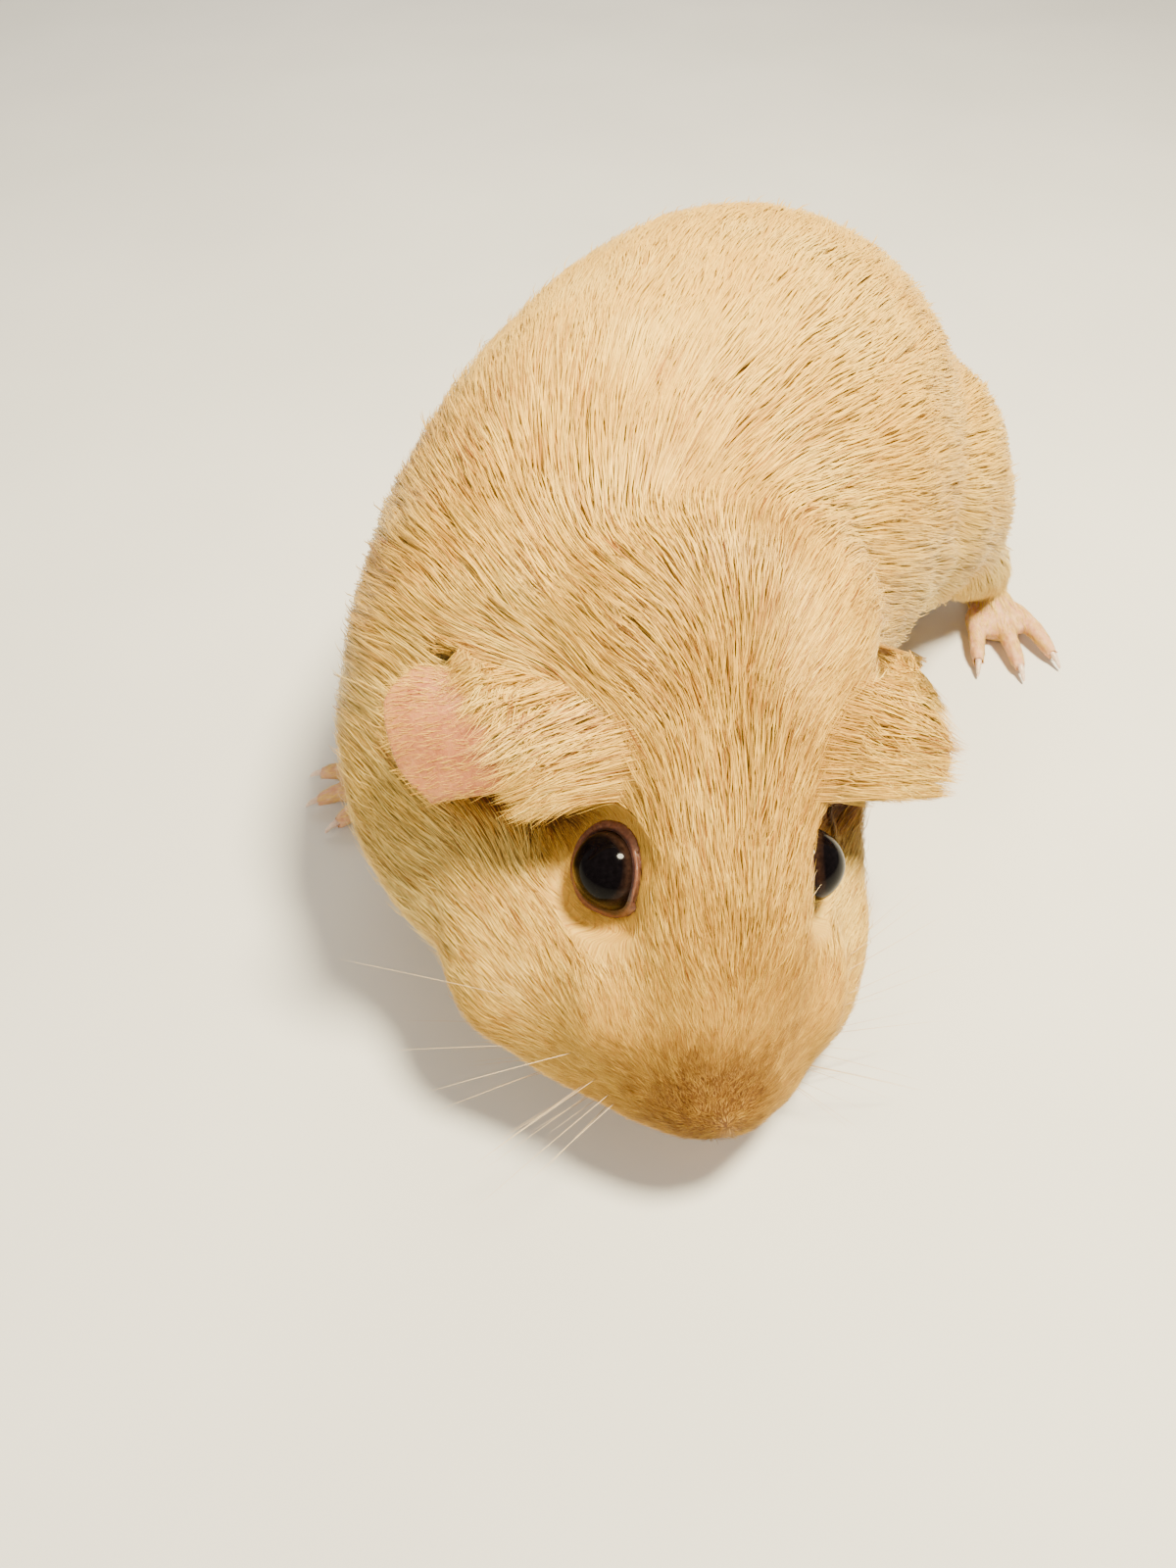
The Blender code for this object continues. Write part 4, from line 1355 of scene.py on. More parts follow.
@dataclass(frozen=True)
class Ear:
    """A thin petal-shaped ear, its hollow below and ahead, drawn as if on the left."""

    side: Side
    tips: tuple[tuple[float, float, float], ...]
    root: tuple[tuple[float, float, float], ...] = (
        (23.4, 14.4, 3.2),
        (26.0, 20.0, 5.2),
        (30.5, 26.5, 3.0),
        (36.0, 30.5, -1.3),
    )
    arch: float = 2.4
    hollow: float = 3.4
    sink: float = 0.22
    bend: float = 5.0
    thick: float = 1.0
    rim: float = 0.42
    columns: int = 44
    rows: int = 40
    cover: float = 0.5

    def span(self) -> float:
        """The ear's usual length from its root to its rim."""
        return float(np.linalg.norm(np.mean(self.tips, axis=0) - np.mean(self.root, axis=0)))

    def rise(self, u: Array, v: Array) -> Array:
        """The upward way off the ear's outer face.

        Args:
            u: From the front edge, 0, to the rear edge, 1.
            v: From the root, 0, to the rim, 1.

        Returns:
            A unit vector in the head's frame for each pair.
        """
        step = 0.02
        low, high = np.clip(u - step, 0, 1), np.clip(u + step, 0, 1)
        aside = self.spots(high, v) - self.spots(low, v)
        out = self.spots(u, v + step) - self.spots(u, v)
        rise = unit(np.cross(out, aside))
        return rise * np.where(rise[:, 2:] < 0, -1.0, 1.0)

    def spots(self, u: Array, v: Array) -> Array:
        """Places on the ear's middle sheet, in the head's frame.

        Args:
            u: From the front edge, 0, to the rear edge, 1.
            v: From the root, 0, to the rim, 1; below 0 it is sunk in the head.

        Returns:
            One place for each pair.
        """
        root = spline(self.root, 3 * np.clip(u, 0, 1))
        tip = spline(self.tips, 3 * np.clip(u, 0, 1))
        out = np.clip(v, 0, 1)
        spot = root + (tip - root) * v[..., None]
        spot[..., 2] += self.arch * 4 * out * (1 - out)
        spot[..., 2] += self.hollow * np.sin(math.pi * np.clip(u, 0, 1)) * out
        spot[..., 2] -= self.bend * np.maximum(-v, 0) / self.sink
        wave = 0.35 * np.sin(9 * u + 1.3) * out**3 + 0.3 * np.sin(17 * u) * out**6
        spot[..., 2] += wave
        spot[..., 0] *= self.side.value
        return spot

    def beyond(self, u: Array, v: Array) -> Array:
        """Places on the ear's sheet, or straight on from its front or rear edge."""
        held = np.clip(u, 0.0, 1.0)
        inner = np.clip(held, 0.05, 0.95)
        aside = (self.spots(inner + 0.05, v) - self.spots(inner - 0.05, v)) / 0.1
        return self.spots(held, v) + aside * (u - held)[:, None]

    def outward(self) -> Array:
        """The way from the ear's root to its rim, in the head's frame."""
        way = np.mean(self.tips, axis=0) - np.mean(self.root, axis=0)
        return unit(way * (self.side.value, 1, 1))

    def distance(self, head: Array) -> Array:
        """How far places of the head's frame are from the ear's root line."""
        line = spline(self.root, np.linspace(0, 3, 13)) * (self.side.value, 1, 1)
        return np.min([np.linalg.norm(head - spot, axis=1) for spot in line], axis=0)

    def build(self, place: Place) -> bpy.types.Object:
        """The ear as one closed, softly curled sheet.

        Args:
            place: Sets the frames.

        Returns:
            The ear.
        """
        bm = bmesh.new()
        bmesh.ops.create_grid(bm, x_segments=self.columns, y_segments=self.rows, size=0.5)
        spread = bm.verts.layers.float.new("spread")
        layer = bm.verts.layers.deform.verify()
        u = np.array([vert.co.x + 0.5 for vert in bm.verts])
        v = np.array([-self.sink + (1 + self.sink) * (vert.co.y + 0.5) for vert in bm.verts])
        spots = place.set(Place.from_head(self.spots(u, v)))
        for vert, spot, along, out in zip(bm.verts, spots, u, v):
            vert.co = Vector(spot)
            vert[spread] = out
            inward = float(np.clip(1 - max(out, 0), 0, 1))
            vert[layer][0] = inward * min(1.0, 8 * min(along, 1 - along) + 0.1)
        bmesh.ops.recalc_face_normals(bm, faces=bm.faces)
        ear = from_bmesh(f"ear_skin_{self.side.word}", bm)
        ear.vertex_groups.new(name="thick")
        wall = ear.modifiers.new("wall", "SOLIDIFY")
        wall.thickness = self.thick * MM
        wall.offset = 0
        wall.vertex_group = "thick"
        wall.thickness_vertex_group = self.rim / self.thick
        round_off = ear.modifiers.new("round", "SUBSURF")
        round_off.levels = round_off.render_levels = 1
        settled(ear)
        ear.vertex_groups.clear()
        return ear


EARS = (
    Ear(Side.RIGHT, ((44.9, 12.1, -2.3), (50.0, 18.0, -3.8), (51.8, 27.4, -2.6), (46.5, 33.0, 0.2))),
    Ear(
        Side.LEFT,
        ((44.1, 16.5, -3.5), (46.8, 21.4, -7.7), (45.4, 28.2, -9.0), (40.8, 33.2, -6.6)),
        cover=0.92,
    ),
)


@dataclass
class Hair:
    """A set of strands before they are meshed, in drawing millimetres."""

    paths: Array
    rises: Array
    widths: Array
    coats: Array
    patches: Array

    def part(self, chosen: Array) -> "Hair":
        """Takes some of the strands.

        Args:
            chosen: Their numbers, or which of all the strands they are.

        Returns:
            Only these strands.
        """
        return Hair(
            self.paths[chosen],
            self.rises[chosen],
            self.widths[chosen],
            self.coats[chosen],
            self.patches[chosen],
        )

    def triangles(self) -> int:
        """How many triangles one strand takes."""
        return 6 * (self.paths.shape[1] - 2) + 4

    def mesh(self, name: str, place: Place, taper: Sequence[float]) -> bpy.types.Object:
        """All strands as one mesh of closed, three-sided, tapered forms.

        Args:
            name: The piece's name.
            place: Sets the frames.
            taper: The width at each place along a strand but the last, as a share of its own.

        Returns:
            The meshed piece, with its coat attribute and its bake map.
        """
        count, steps = self.paths.shape[0], self.paths.shape[1] - 1
        ahead = unit(np.diff(self.paths, axis=1))
        across = unit(np.cross(ahead, self.rises[:, :-1]))
        above = unit(np.cross(across, ahead))
        wide = self.widths[:, None, None] * np.asarray(taper)[None, :, None]
        base = self.paths[:, :-1]
        rings = np.stack(
            (base - across * wide / 2, base + across * wide / 2, base + above * wide * 0.4), axis=2
        )
        lean = np.stack((above * 0.3 - across, above * 0.3 + across, above), axis=2)
        shown = unit(lean * 0.5 + self.rises[:, :-1, None] * 0.5).reshape(count, -1, 3)
        shown = np.concatenate((shown, unit(self.rises[:, -1:])), axis=1)
        size = 3 * steps + 1
        points = np.concatenate((rings.reshape(count, -1, 3), self.paths[:, -1:]), axis=1)
        order = [(0, 1, 2)]
        for k in range(steps - 1):
            for j in range(3):
                a, b = 3 * k + j, 3 * k + (j + 1) % 3
                order += [(a, a + 3, b), (b, a + 3, b + 3)]
        last = 3 * (steps - 1)
        order += [(last + j, 3 * steps, last + (j + 1) % 3) for j in range(3)]
        order = np.array(order)
        faces = (order[None] + size * np.arange(count)[:, None, None]).reshape(-1, 3)
        mesh = bpy.data.meshes.new(name)
        mesh.vertices.add(count * size)
        mesh.vertices.foreach_set("co", place.set(points).astype(np.float32).ravel())
        mesh.loops.add(faces.size)
        mesh.loops.foreach_set("vertex_index", faces.astype(np.int32).ravel())
        mesh.polygons.add(len(faces))
        mesh.polygons.foreach_set("loop_start", np.arange(0, faces.size, 3, dtype=np.int32))
        mesh.update(calc_edges=True)
        along = np.append(np.repeat(np.arange(steps), 3), steps) / steps
        aside = np.append(np.tile((0.0, 1.0, 0.5), steps), 0.5)
        coat = np.repeat(self.coats[:, None, :], size, axis=1)
        coat[:, :, 2] = along
        set_attribute(mesh, "coat", coat.reshape(-1, 3))
        patch = np.stack((aside - 0.5, along - 0.5), axis=1) * 0.003
        uv = (self.patches[:, None, :] + patch[None]).reshape(-1, 2)[faces.ravel()]
        layer = mesh.uv_layers.new(name="OFBake")
        layer.data.foreach_set("uv", uv.astype(np.float32).ravel())
        mesh.shade_smooth()
        mesh.normals_split_custom_set_from_vertices(shown.reshape(-1, 3))
        return link(name, mesh)


@dataclass(frozen=True)
class Strand:
    """A kind of strand, by its shape from the root to the tip.

    Widths are shares of the strand's own width, at each place but the tip. Heights are shares of
    how high it lifts off the skin, or millimetres for the ears' down.
    """

    name: str
    widths: tuple[float, ...]
    heights: tuple[float, ...]


NECK_STRAND = Strand("neck", (0.7, 1.0, 0.72), (-0.2, 0.6, 0.92, 1.12))
BODY_STRAND = Strand("body", (0.85, 0.9), (-0.2, 0.76, 1.02))
FACE_STRAND = Strand("face", (1.0,), (-0.1, 1.15))
FRINGE_STRAND = Strand("ear", (0.7, 1.0, 0.8), (0.1, 0.8, 1.15, 0.95))
DOWN_STRAND = Strand("ear_down", (0.9, 0.8), (0.0, 0.12, 0.15))


@dataclass
class Roots:
    """Where the body's tufts start, in drawing millimetres, and how each one grows."""

    spot: Array
    rise: Array
    lie: Array
    depth: Array
    length: Array
    width: Array
    lift: Array
    head: Array
    neck: Array
    whorl: Array
    lock: Array


@dataclass
class Coat:
    """The lying coat: tufts that follow the skin and its lie."""

    skin: Skin
    ears: Sequence[Ear]
    ear_trees: Sequence[BVHTree]
    seed: int = 41
    piece_limit: int = 192000
    lock_size: int = 16
    neck_border: float = 0.12
    short: float = 4.4
    eye_margin: float = math.radians(4.5)
    # Where the nose's hair stands in all directions, in the head's frame.
    tousled: tuple[float, float, float] = (0, -33, -1)
    tousled_radii: tuple[float, float, float] = (15, 11, 11)
    fringe_count: int = 5600
    fringe_lock: int = 13
    fringe_places: tuple[float, ...] = (0.0, 0.33, 0.68, 1.0)
    down_count: int = 1200
    thinning: float = field(default_factory=lambda: 1.0)

    def scatter(self, rng: np.random.Generator) -> tuple[Array, Array]:
        """Root places over the skin.

        Args:
            rng: The seeded source of chance.

        Returns:
            Each root's face, and its three shares of that face's corners.
        """
        skin = self.skin
        a, b, c = (skin.points[skin.faces[:, k]] for k in range(3))
        area = 0.5 * np.linalg.norm(np.cross(b - a, c - a), axis=1)
        wanted = area * skin.density[skin.faces].mean(axis=1) * self.thinning
        count = (wanted + rng.random(len(wanted))).astype(int)
        face = np.repeat(np.arange(len(count)), count)
        one, two = rng.random(len(face)), rng.random(len(face))
        over = one + two > 1
        one[over], two[over] = 1 - one[over], 1 - two[over]
        return face, np.column_stack((1 - one - two, one, two))

    def at(self, values: Array, face: Array, shares: Array) -> Array:
        """Values of the skin's points, read inside its faces."""
        corners = values[self.skin.faces[face]]
        return np.einsum("nk,nk...->n...", shares, corners)

    def nearest(self, points: Array) -> tuple[Array, Array]:
        """The nearest place of the skin to each point, and that place's face."""
        found = [self.skin.tree.find_nearest(point) for point in points.tolist()]
        return np.array([hit[0] for hit in found]), np.array([hit[2] for hit in found])

    def locks(self, spots: Array, rng: np.random.Generator) -> Array:
        """Gathers the strands into locks, each round a strand that is picked by chance.

        Args:
            spots: The strands' roots in the drawing frame.
            rng: The seeded source of chance.

        Returns:
            For each strand, the number of the strand that leads its lock.
        """
        leaders = rng.choice(len(spots), len(spots) // self.lock_size, replace=False)
        tree = KDTree(len(leaders))
        for index, spot in enumerate(spots[leaders].tolist()):
            tree.insert(spot, index)
        tree.balance()
        return leaders[[tree.find(spot)[1] for spot in spots.tolist()]]

    def plant(self, rng: np.random.Generator) -> Roots:
        """Sets the roots, in locks that swing and rise together.

        Args:
            rng: The seeded source of chance.

        Returns:
            The roots.
        """
        skin = self.skin
        face, shares = self.scatter(rng)
        count = len(face)
        here = partial(self.at, face=face, shares=shares)
        spot, rise, lie = here(skin.points), unit(here(skin.normals)), unit(here(skin.lie))
        length = here(skin.length) * rng.uniform(0.72, 1.18, count)
        width = here(skin.width) * rng.uniform(0.75, 1.25, count)
        head = here(skin.head_share)
        lock = self.locks(spot, rng)
        swing = rng.normal(0, 0.09, count)[lock] + rng.normal(0, 0.08, count)
        swing += 0.12 * ripple(spot, 19, 3) + 0.07 * ripple(spot, 7, 4)
        whorl = hill(Place.to_head(spot), self.tousled, self.tousled_radii)
        swing += 0.3 * whorl * (rng.normal(0, 1, count) + rng.normal(0, 1, count)[lock])
        lift = rng.uniform(0.5, 1.05, count) + rng.normal(0, 0.08, count)[lock]
        stray = rng.random(count) < 0.02 + 0.05 * head
        lift[stray] += rng.uniform(0.2, 0.9, count)[stray]
        return Roots(
            spot=spot,
            rise=rise,
            lie=unit(lie + np.cross(rise, lie) * swing[:, None]),
            depth=here(skin.depth),
            length=length,
            width=width,
            lift=lift,
            head=head,
            neck=here(skin.neck_share),
            whorl=whorl,
            lock=lock,
        )

    def colour(self, roots: Roots, rng: np.random.Generator) -> Array:
        """Each tuft's marking and tone, uneven by strand and by lock, with a few dark hairs and painted
        shade under the ears.

        Args:
            roots: The tufts' roots.
            rng: The seeded source of chance.

        Returns:
            The marking, the tone and an empty place for the share along the strand, one row each.
        """
        count = len(roots.spot)
        in_head = Place.to_head(roots.spot)
        uneven = 0.06 + 0.1 * roots.neck + 0.12 * roots.head
        patchy = 0.03 + 0.08 * roots.neck + 0.07 * roots.head + 0.06 * roots.whorl
        tone = 0.62 + uneven * rng.normal(0, 1, count)
        tone += patchy * rng.normal(0, 1, count)[roots.lock]
        dark = rng.random(count) < 0.03 * (roots.head > 0.5)
        tone[dark] = rng.uniform(0, 0.15, count)[dark]
        # Painted shade: tufts in the hollow under each ear are toned darker.
        tone -= 0.8 * Skin.under_ears(in_head)
        mark = Skin.marking(roots.spot, in_head) + rng.normal(0, 0.05 + 0.06 * roots.head)
        mark += 0.12 * roots.whorl * rng.normal(0, 1, count)[roots.lock]
        return np.column_stack((np.clip(mark, 0, 1), np.clip(tone, 0, 1), np.zeros(count)))

    def trace(self, roots: Roots, chosen: Array, kind: Strand) -> tuple[Array, Array]:
        """Follows the skin and its lie from each chosen root, drawn towards its lock's leader.

        Args:
            roots: All the roots.
            chosen: Which of them grow this kind.
            kind: The kind of strand.

        Returns:
            The strands' paths, and the upward way at each place of a path.
        """
        skin, steps = self.skin, len(kind.widths)
        pull = 0.3 + 0.25 * roots.neck - 0.1 * roots.head
        gather = ((roots.spot[roots.lock] - roots.spot) * pull[:, None])[chosen]
        spot, way = roots.spot[chosen], roots.lie[chosen]
        paths, rises = [spot], [roots.rise[chosen]]
        reach = (roots.length[chosen] / steps)[:, None]
        for step in range(1, steps + 1):
            spot, hit = self.nearest(spot + way * reach)
            corners = skin.faces[hit]
            up = unit(skin.normals[corners].mean(axis=1))
            way = 0.55 * way + 0.45 * unit(skin.lie[corners].mean(axis=1))
            way = unit(way - np.sum(way * up, axis=1, keepdims=True) * up)
            paths.append(spot + gather * (step / steps) ** 1.5)
            rises.append(up)
        tall = np.maximum(roots.depth[chosen], 0.3) * roots.lift[chosen]
        heights = np.maximum(np.array(kind.heights) * tall[:, None], -0.5)
        rises = np.stack(rises, axis=1)
        return np.stack(paths, axis=1) + rises * heights[..., None], rises

    def grow(self) -> list[tuple[str, Hair, Sequence[float]]]:
        """Grows every tuft of the body, longest on the neck and shortest on face and feet.

        Returns:
            Each kind's name, its hair and its taper.
        """
        rng = np.random.default_rng(self.seed)
        roots = self.plant(rng)
        coats = self.colour(roots, rng)
        patches = Skin.unwrap(roots.spot)
        long = roots.neck > self.neck_border
        short = ~long & (roots.length < self.short)
        grown = []
        for kind, chosen in (
            (NECK_STRAND, long),
            (BODY_STRAND, ~long & ~short),
            (FACE_STRAND, short),
        ):
            paths, rises = self.trace(roots, chosen, kind)
            hair = Hair(paths, rises, roots.width[chosen], coats[chosen], patches[chosen])
            grown.append((kind.name, hair.part(self.clear(paths)), kind.widths))
        return grown

    def clear(self, paths: Array) -> Array:
        """Finds the strands that keep off the eyes, the ears' sheets and the floor.

        Args:
            paths: Every strand's path in the drawing frame.

        Returns:
            Whether each strand is kept.
        """
        keep = paths[:, :, 2].min(axis=1) > 0.15
        lids = self.skin.lids
        for step in range(1, paths.shape[1]):
            head = Place.to_head(paths[:, step])
            for side in Side:
                distance, angle, edge = lids.seen(side, head)
                over = (distance < lids.radius + 5) & (angle < edge + self.eye_margin)
                keep &= ~(over | (distance < lids.radius + 0.15))
        for tree in self.ear_trees:
            for index in np.flatnonzero(keep):
                start = Vector(paths[index, 0])
                way = Vector(paths[index, -1]) - start
                hit = tree.ray_cast(start, way.normalized(), way.length)
                if hit[0] is not None and hit[3] > 0.8:
                    keep[index] = False
        return keep

    def fringe(self, ear: Ear, rng: np.random.Generator) -> Hair:
        """Light locks that sweep from the crown over the inner part of an ear.

        Args:
            ear: The ear that they cover.
            rng: The seeded source of chance.

        Returns:
            The strands.
        """
        count = self.fringe_count
        groups = count // self.fringe_lock
        locks = rng.integers(0, groups, count)
        # Locks stand from ahead of the front edge to well behind the rear edge, most at the front.
        u = (1.76 * rng.random(groups) ** 1.35 - 0.16)[locks]
        start = rng.uniform(-0.8, 0.12, count)
        tips = rng.uniform(0.25, 1.2, groups)[locks] * ear.cover * rng.uniform(0.8, 1.15, count)
        end = np.maximum(tips, start + 0.3)
        sweep = rng.normal(0.26, 0.09, groups)[locks] * (0.3 + np.maximum(u, 0))
        sweep += 0.8 * np.maximum(u - 1, 0)
        sweep += rng.normal(0.11, 0.09, groups)[locks] * np.exp(-((u / 0.3) ** 2))
        lift = rng.uniform(0.1, 0.7, count) + rng.uniform(0, 1.3, groups)[locks]
        apart = rng.normal(0, 0.045, count)
        rows = []
        for share, height in zip(self.fringe_places, FRINGE_STRAND.heights):
            v = start + (end - start) * share
            along = u - sweep * (share**1.5 - 0.35) + apart * (1 - 0.8 * share)
            rise = ear.rise(np.clip(along, 0, 1), np.maximum(v, 0.02))
            spot = ear.beyond(along, np.maximum(v, 0.0))
            inward = np.minimum(v, 0)[:, None]
            low = spot + ear.outward() * inward * ear.span() - rise * inward * 4.0
            rows.append(low + rise * (0.3 + lift * height)[:, None])
        paths = Place.from_head(np.stack(rows, axis=1))
        behind = start < 0
        paths[behind, 0] = self.nearest(paths[behind, 0])[0]
        rise = ear.rise(np.clip(u, 0, 1), np.full(count, 0.1)) @ HEAD_TURN.T
        rises = np.repeat(rise[:, None], len(rows), axis=1)
        mark = 0.34 - 0.2 * np.minimum(start, 0) + rng.normal(0, 0.1, count)
        mark += rng.normal(0, 0.1, groups)[locks]
        tone = rng.normal(0.58, 0.22, count) + rng.normal(0, 0.18, groups)[locks]
        coats = np.column_stack((np.clip(mark, 0, 1), np.clip(tone, 0, 1), np.zeros(count)))
        width = rng.uniform(0.11, 0.2, count)
        return Hair(paths, rises, width, coats, Skin.unwrap(paths[:, 0]))

    def down(self, ear: Ear, rng: np.random.Generator) -> Hair:
        """Very fine, sparse hair over the bare part of an ear and along its rim.

        Args:
            ear: The ear that it grows on.
            rng: The seeded source of chance.

        Returns:
            The strands.
        """
        count = self.down_count
        u = rng.random(count)
        v = rng.uniform(0.3, 1.0, count)
        rise = ear.rise(u, v)
        root = ear.spots(u, v) + rise * 0.2
        out = unit(ear.spots(u, v + 0.02) - ear.spots(u, v))
        length = rng.uniform(1.2, 2.4, count)[:, None]
        low, bow, high = (rise * height for height in DOWN_STRAND.heights)
        tip = root + (out + 0.2 * rng.normal(size=(count, 3))) * length + high
        rows = (root + low, (root + tip) / 2 + bow, tip)
        paths = Place.from_head(np.stack(rows, axis=1))
        rises = np.repeat((rise @ HEAD_TURN.T)[:, None], len(rows), axis=1)
        tone = rng.uniform(0.3, 0.8, count)
        coats = np.column_stack((np.full(count, 0.4), tone, np.zeros(count)))
        width = rng.uniform(0.07, 0.11, count)
        return Hair(paths, rises, width, coats, Skin.unwrap(paths[:, 0]))

    def build(self, material: bpy.types.Material, place: Place) -> list[bpy.types.Object]:
        """Meshes the coat in even layers, each under the piece limit.

        Args:
            material: The hair's material.
            place: Sets the frames.

        Returns:
            The coat's pieces.
        """
        rng = np.random.default_rng(self.seed + 1)
        kinds = self.grow()
        for ear in self.ears:
            for kind, make in ((FRINGE_STRAND, self.fringe), (DOWN_STRAND, self.down)):
                kinds.append((f"{kind.name}_{ear.side.word}", make(ear, rng), kind.widths))
        pieces = []
        for name, hair, taper in kinds:
            layers = -(-len(hair.paths) * hair.triangles() // self.piece_limit)
            for layer in range(layers):
                chosen = np.arange(layer, len(hair.paths), layers)
                piece = hair.part(chosen).mesh(f"coat_{name}_{layer + 1}", place, taper)
                pieces.append(finish_piece(piece, material))
        return pieces


@dataclass
class Whiskers:
    """Long, fine whiskers on both sides of the muzzle, and a few over each eye."""

    skin: Skin
    seed: int = 7
    rows: int = 5
    places: int = 5
    brows: int = 2
    steps: int = 8
    width: float = 0.17
    # Places inside the left side of the head, from which the skin over the roots is found.
    pad: tuple[float, float, float] = (5, -27, -12.5)
    brow: tuple[float, float, float] = (9, -4, -2)
    lengths: tuple[float, float] = (32.0, 46.0)
    brow_lengths: tuple[float, float] = (3.5, 5.5)

    def aims(self, rng: np.random.Generator) -> list[tuple[Array, Array, Array, float]]:
        """Where each whisker is rooted and how it goes, in the head's frame.

        Args:
            rng: The seeded source of chance.

        Returns:
            A place inside the head, the way from there to the root, the whisker's own way and its
            length, for each one.
        """
        aims = []
        for side in Side:
            out = side.value
            pad, brow = (np.array(inside) * (out, 1, 1) for inside in (self.pad, self.brow))
            ahead, rise = (-0.85, -0.02) if side is Side.RIGHT else (-0.6, 0.2)
            for row in range(self.rows):
                for place in range(self.places):
                    look = np.array((out * (1.0 + 0.1 * row), 0.32 * place - 0.75, 0.32 - 0.27 * row))
                    look += rng.normal(0, 0.05, 3)
                    way = np.array((out, ahead + 0.3 * place, rise - 0.14 * row))
                    way += rng.normal(0, 0.13, 3)
                    length = rng.uniform(*self.lengths) * (0.62 + 0.14 * place - 0.05 * row)
                    aims.append((pad, look, way, length))
            for place in range(self.brows):
                look = np.array((out * (0.55 + 0.1 * place), 0.2 * place - 0.25, 1.0))
                way = np.array((out * 0.3, 0.8 + 0.3 * place, 0.7)) + rng.normal(0, 0.1, 3)
                aims.append((brow, look, way, rng.uniform(*self.brow_lengths)))
        return aims

    def grow(self) -> Hair:
        """Draws each whisker from the skin outwards, with a slight droop.

        Returns:
            The whiskers as strands.
        """
        rng = np.random.default_rng(self.seed)
        paths = []
        for inside, look, way, length in self.aims(rng):
            start = Place.from_head(inside)
            look, course = HEAD_TURN @ unit(look), HEAD_TURN @ unit(way)
            reach = self.skin.along(start, look, 0.0) or 8.0
            path = [start + look * (reach - 0.5)]
            for _ in range(self.steps):
                course = unit(course + np.array((0, 0.012, -0.035)))
                path.append(path[-1] + course * length / self.steps)
            path = np.array(path)
            path[:, 2] = np.maximum(path[:, 2], 0.5 + 0.02 * np.arange(len(path)))
            paths.append(path)
        paths = np.array(paths)
        count = len(paths)
        rises = np.broadcast_to(np.array((0.1, 0.2, 1.0)), paths.shape).copy()
        widths = np.full(count, self.width) * rng.uniform(0.8, 1.15, count)
        return Hair(paths, rises, widths, np.zeros((count, 3)), Skin.unwrap(paths[:, 0]))

    def build(self, material: bpy.types.Material, place: Place) -> bpy.types.Object:
        """The whiskers as one piece."""
        taper = np.linspace(1.0, 0.3, self.steps)
        return finish_piece(self.grow().mesh("whiskers", place, taper), material)


@dataclass
class Claws:
    """The claws, each a smooth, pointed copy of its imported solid."""

    levels: int = 2

    def build(self, material: bpy.types.Material) -> list[bpy.types.Object]:
        """Smooths each packed claw.

        Args:
            material: Their horn.

        Returns:
            One piece for each claw.
        """
        pieces = []
        for name in sorted(node for node in frame["nodes"] if "_claw_" in node):
            bm = bmesh.new()
            bm.from_mesh(frame["nodes"][name].data)
            bmesh.ops.remove_doubles(bm, verts=bm.verts, dist=1e-6)
            foot = name.split("_claw_")[0]
            way = Vector((*toes(foot), 0))
            reach = [vert.co.dot(way) for vert in bm.verts]
            low, high = min(reach), max(reach)
            along = bm.verts.layers.float.new("along")
            for vert, value in zip(bm.verts, reach):
                vert[along] = (value - low) / (high - low)
            claw = from_bmesh(name.replace("_claw_", "_nail_"), bm)
            smooth = claw.modifiers.new("smooth", "SUBSURF")
            smooth.levels = smooth.render_levels = self.levels
            settled(claw)
            claw.data.shade_smooth()
            pieces.append(finish_piece(claw, material, [name]))
        return pieces


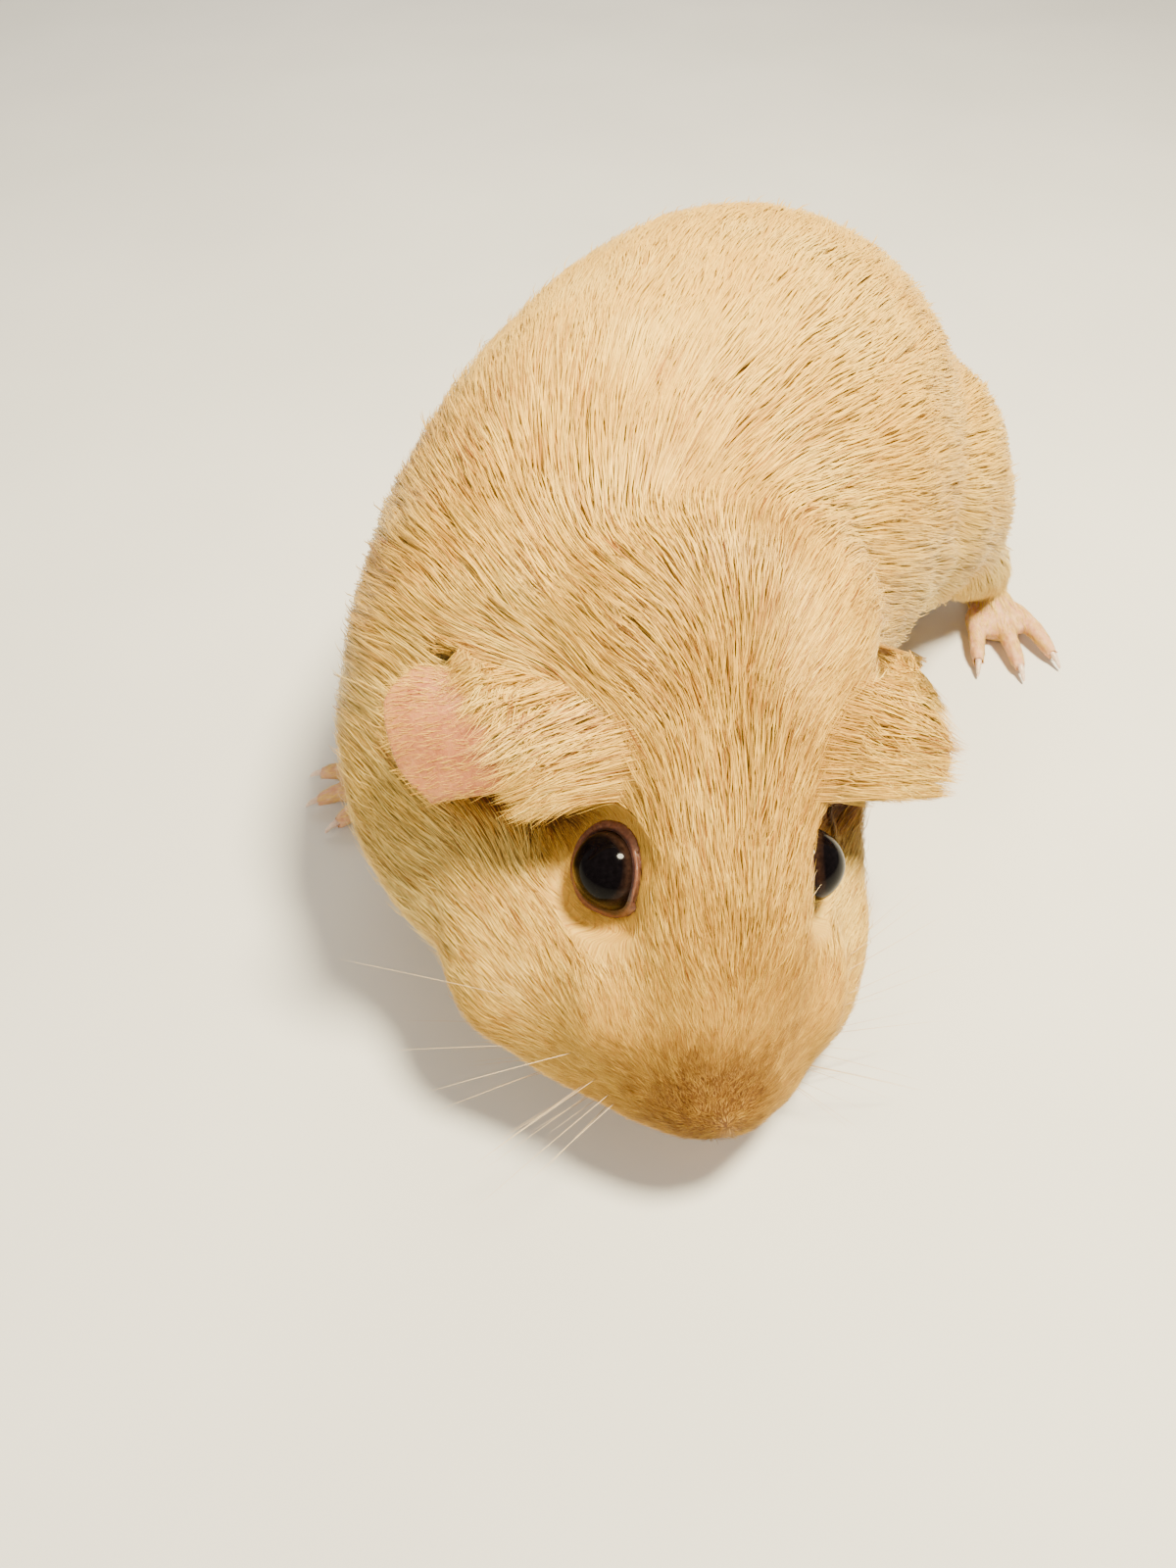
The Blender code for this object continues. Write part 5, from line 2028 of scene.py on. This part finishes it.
@dataclass(frozen=True)
class Studio:
    """The pale floor, the soft lights and the camera at the photograph's angle."""

    place: Place
    camera_from_eyes: tuple[float, float, float] = (-6.08, -108.92, 146.88)
    pitch: float = math.radians(49.6)
    heading: float = math.radians(-7.2)
    roll: float = math.radians(-0.3)
    lens: float = 25.875

    def floor(self) -> None:
        """A wide plain floor at the level of the feet."""
        bm = bmesh.new()
        bmesh.ops.create_grid(bm, x_segments=4, y_segments=4, size=1.5)
        floor = from_bmesh("floor", bm)
        floor.data.materials.append(FloorFinish().material())

    def lights(self) -> None:
        """A broad warm key light above, a fill from the camera's side and a soft surround."""
        world = bpy.data.worlds.new("studio")
        bpy.context.scene.world = world
        world.use_nodes = True
        sky = world.node_tree.nodes["Background"]
        sky.inputs["Color"].default_value = (1.0, 0.97, 0.93, 1)
        sky.inputs["Strength"].default_value = 0.45
        for name, spot, size, power, colour in (
            ("key", (0.16, -0.03, 0.57), 0.14, 13.5, (1.0, 0.91, 0.66)),
            ("fill", (-0.35, -0.6, 0.5), 0.6, 3.8, (1.0, 0.93, 0.76)),
            ("back", (-0.2, 0.65, 0.55), 0.6, 2.6, (1.0, 0.97, 0.92)),
        ):
            data = bpy.data.lights.new(name, "AREA")
            data.shape = "DISK"
            data.size = size
            data.energy = power
            data.color = colour
            lamp = bpy.data.objects.new(name, data)
            lamp.location = spot
            aim = Vector((0, 0, 0.03)) - Vector(spot)
            lamp.rotation_mode = "QUATERNION"
            lamp.rotation_quaternion = aim.to_track_quat("-Z", "Y")
            lamp.visible_glossy = name == "key"
            bpy.context.scene.collection.objects.link(lamp)

    def camera(self) -> None:
        """The camera, set out from the middle of the eyes."""
        p, h = self.pitch, self.heading
        ahead = Vector((math.sin(h) * math.cos(p), math.cos(h) * math.cos(p), -math.sin(p)))
        right = Vector((math.cos(h), -math.sin(h), 0))
        up = right.cross(ahead)
        turned = right * math.cos(self.roll) + up * math.sin(self.roll)
        upright = up * math.cos(self.roll) - right * math.sin(self.roll)
        data = bpy.data.cameras.new("camera")
        data.lens = self.lens
        data.sensor_width = 36
        data.clip_start = 0.01
        camera = bpy.data.objects.new("camera", data)
        spot = Vector(self.place.eyes) + MM * Vector(self.camera_from_eyes)
        axes = Matrix((turned, upright, -ahead)).transposed()
        camera.matrix_world = Matrix.Translation(spot) @ axes.to_4x4()
        bpy.context.scene.collection.objects.link(camera)
        bpy.context.scene.camera = camera


def ear_tree(ear: bpy.types.Object, place: Place) -> BVHTree:
    """A search tree over a finished ear, in drawing millimetres."""
    points = place.drawn(read(ear.data.vertices, "co", 3))
    faces = [tuple(face.vertices) for face in ear.data.polygons]
    return BVHTree.FromPolygons(points.tolist(), faces)


def main() -> None:
    """Builds the animal from its skin outwards, then the studio around it."""
    logging.basicConfig(level=logging.INFO, format="%(message)s")
    lids = Lids()
    place = Place.from_eyes(np.array(lids.centre))
    studio = Studio(place)
    studio.camera()
    studio.lights()
    studio.floor()
    skin = Skin(place, lids, EARS)
    coat_finish = CoatFinish()
    piece = skin.build()
    finish_piece(piece, SkinFinish().material(coat_finish), FLESH)
    ear_finish = EarFinish().material()
    trees = []
    for ear in EARS:
        piece = ear.build(place)
        trees.append(ear_tree(piece, place))
        finish_piece(piece, ear_finish, [f"ear_{ear.side.word}"])
    eye_finish, lid_finish = EyeFinish().material(), LidFinish().material()
    for side in Side:
        eye = Eye(lids).build(side, place)
        finish_piece(eye, eye_finish, [f"eye_{side.word}"])
        finish_piece(lids.build(side, place, skin), lid_finish)
    Claws().build(ClawFinish().material())
    Coat(skin, EARS, trees).build(coat_finish.material(), place)
    Whiskers(skin).build(WhiskerFinish().material(), place)


if __name__ == "__main__":
    main()
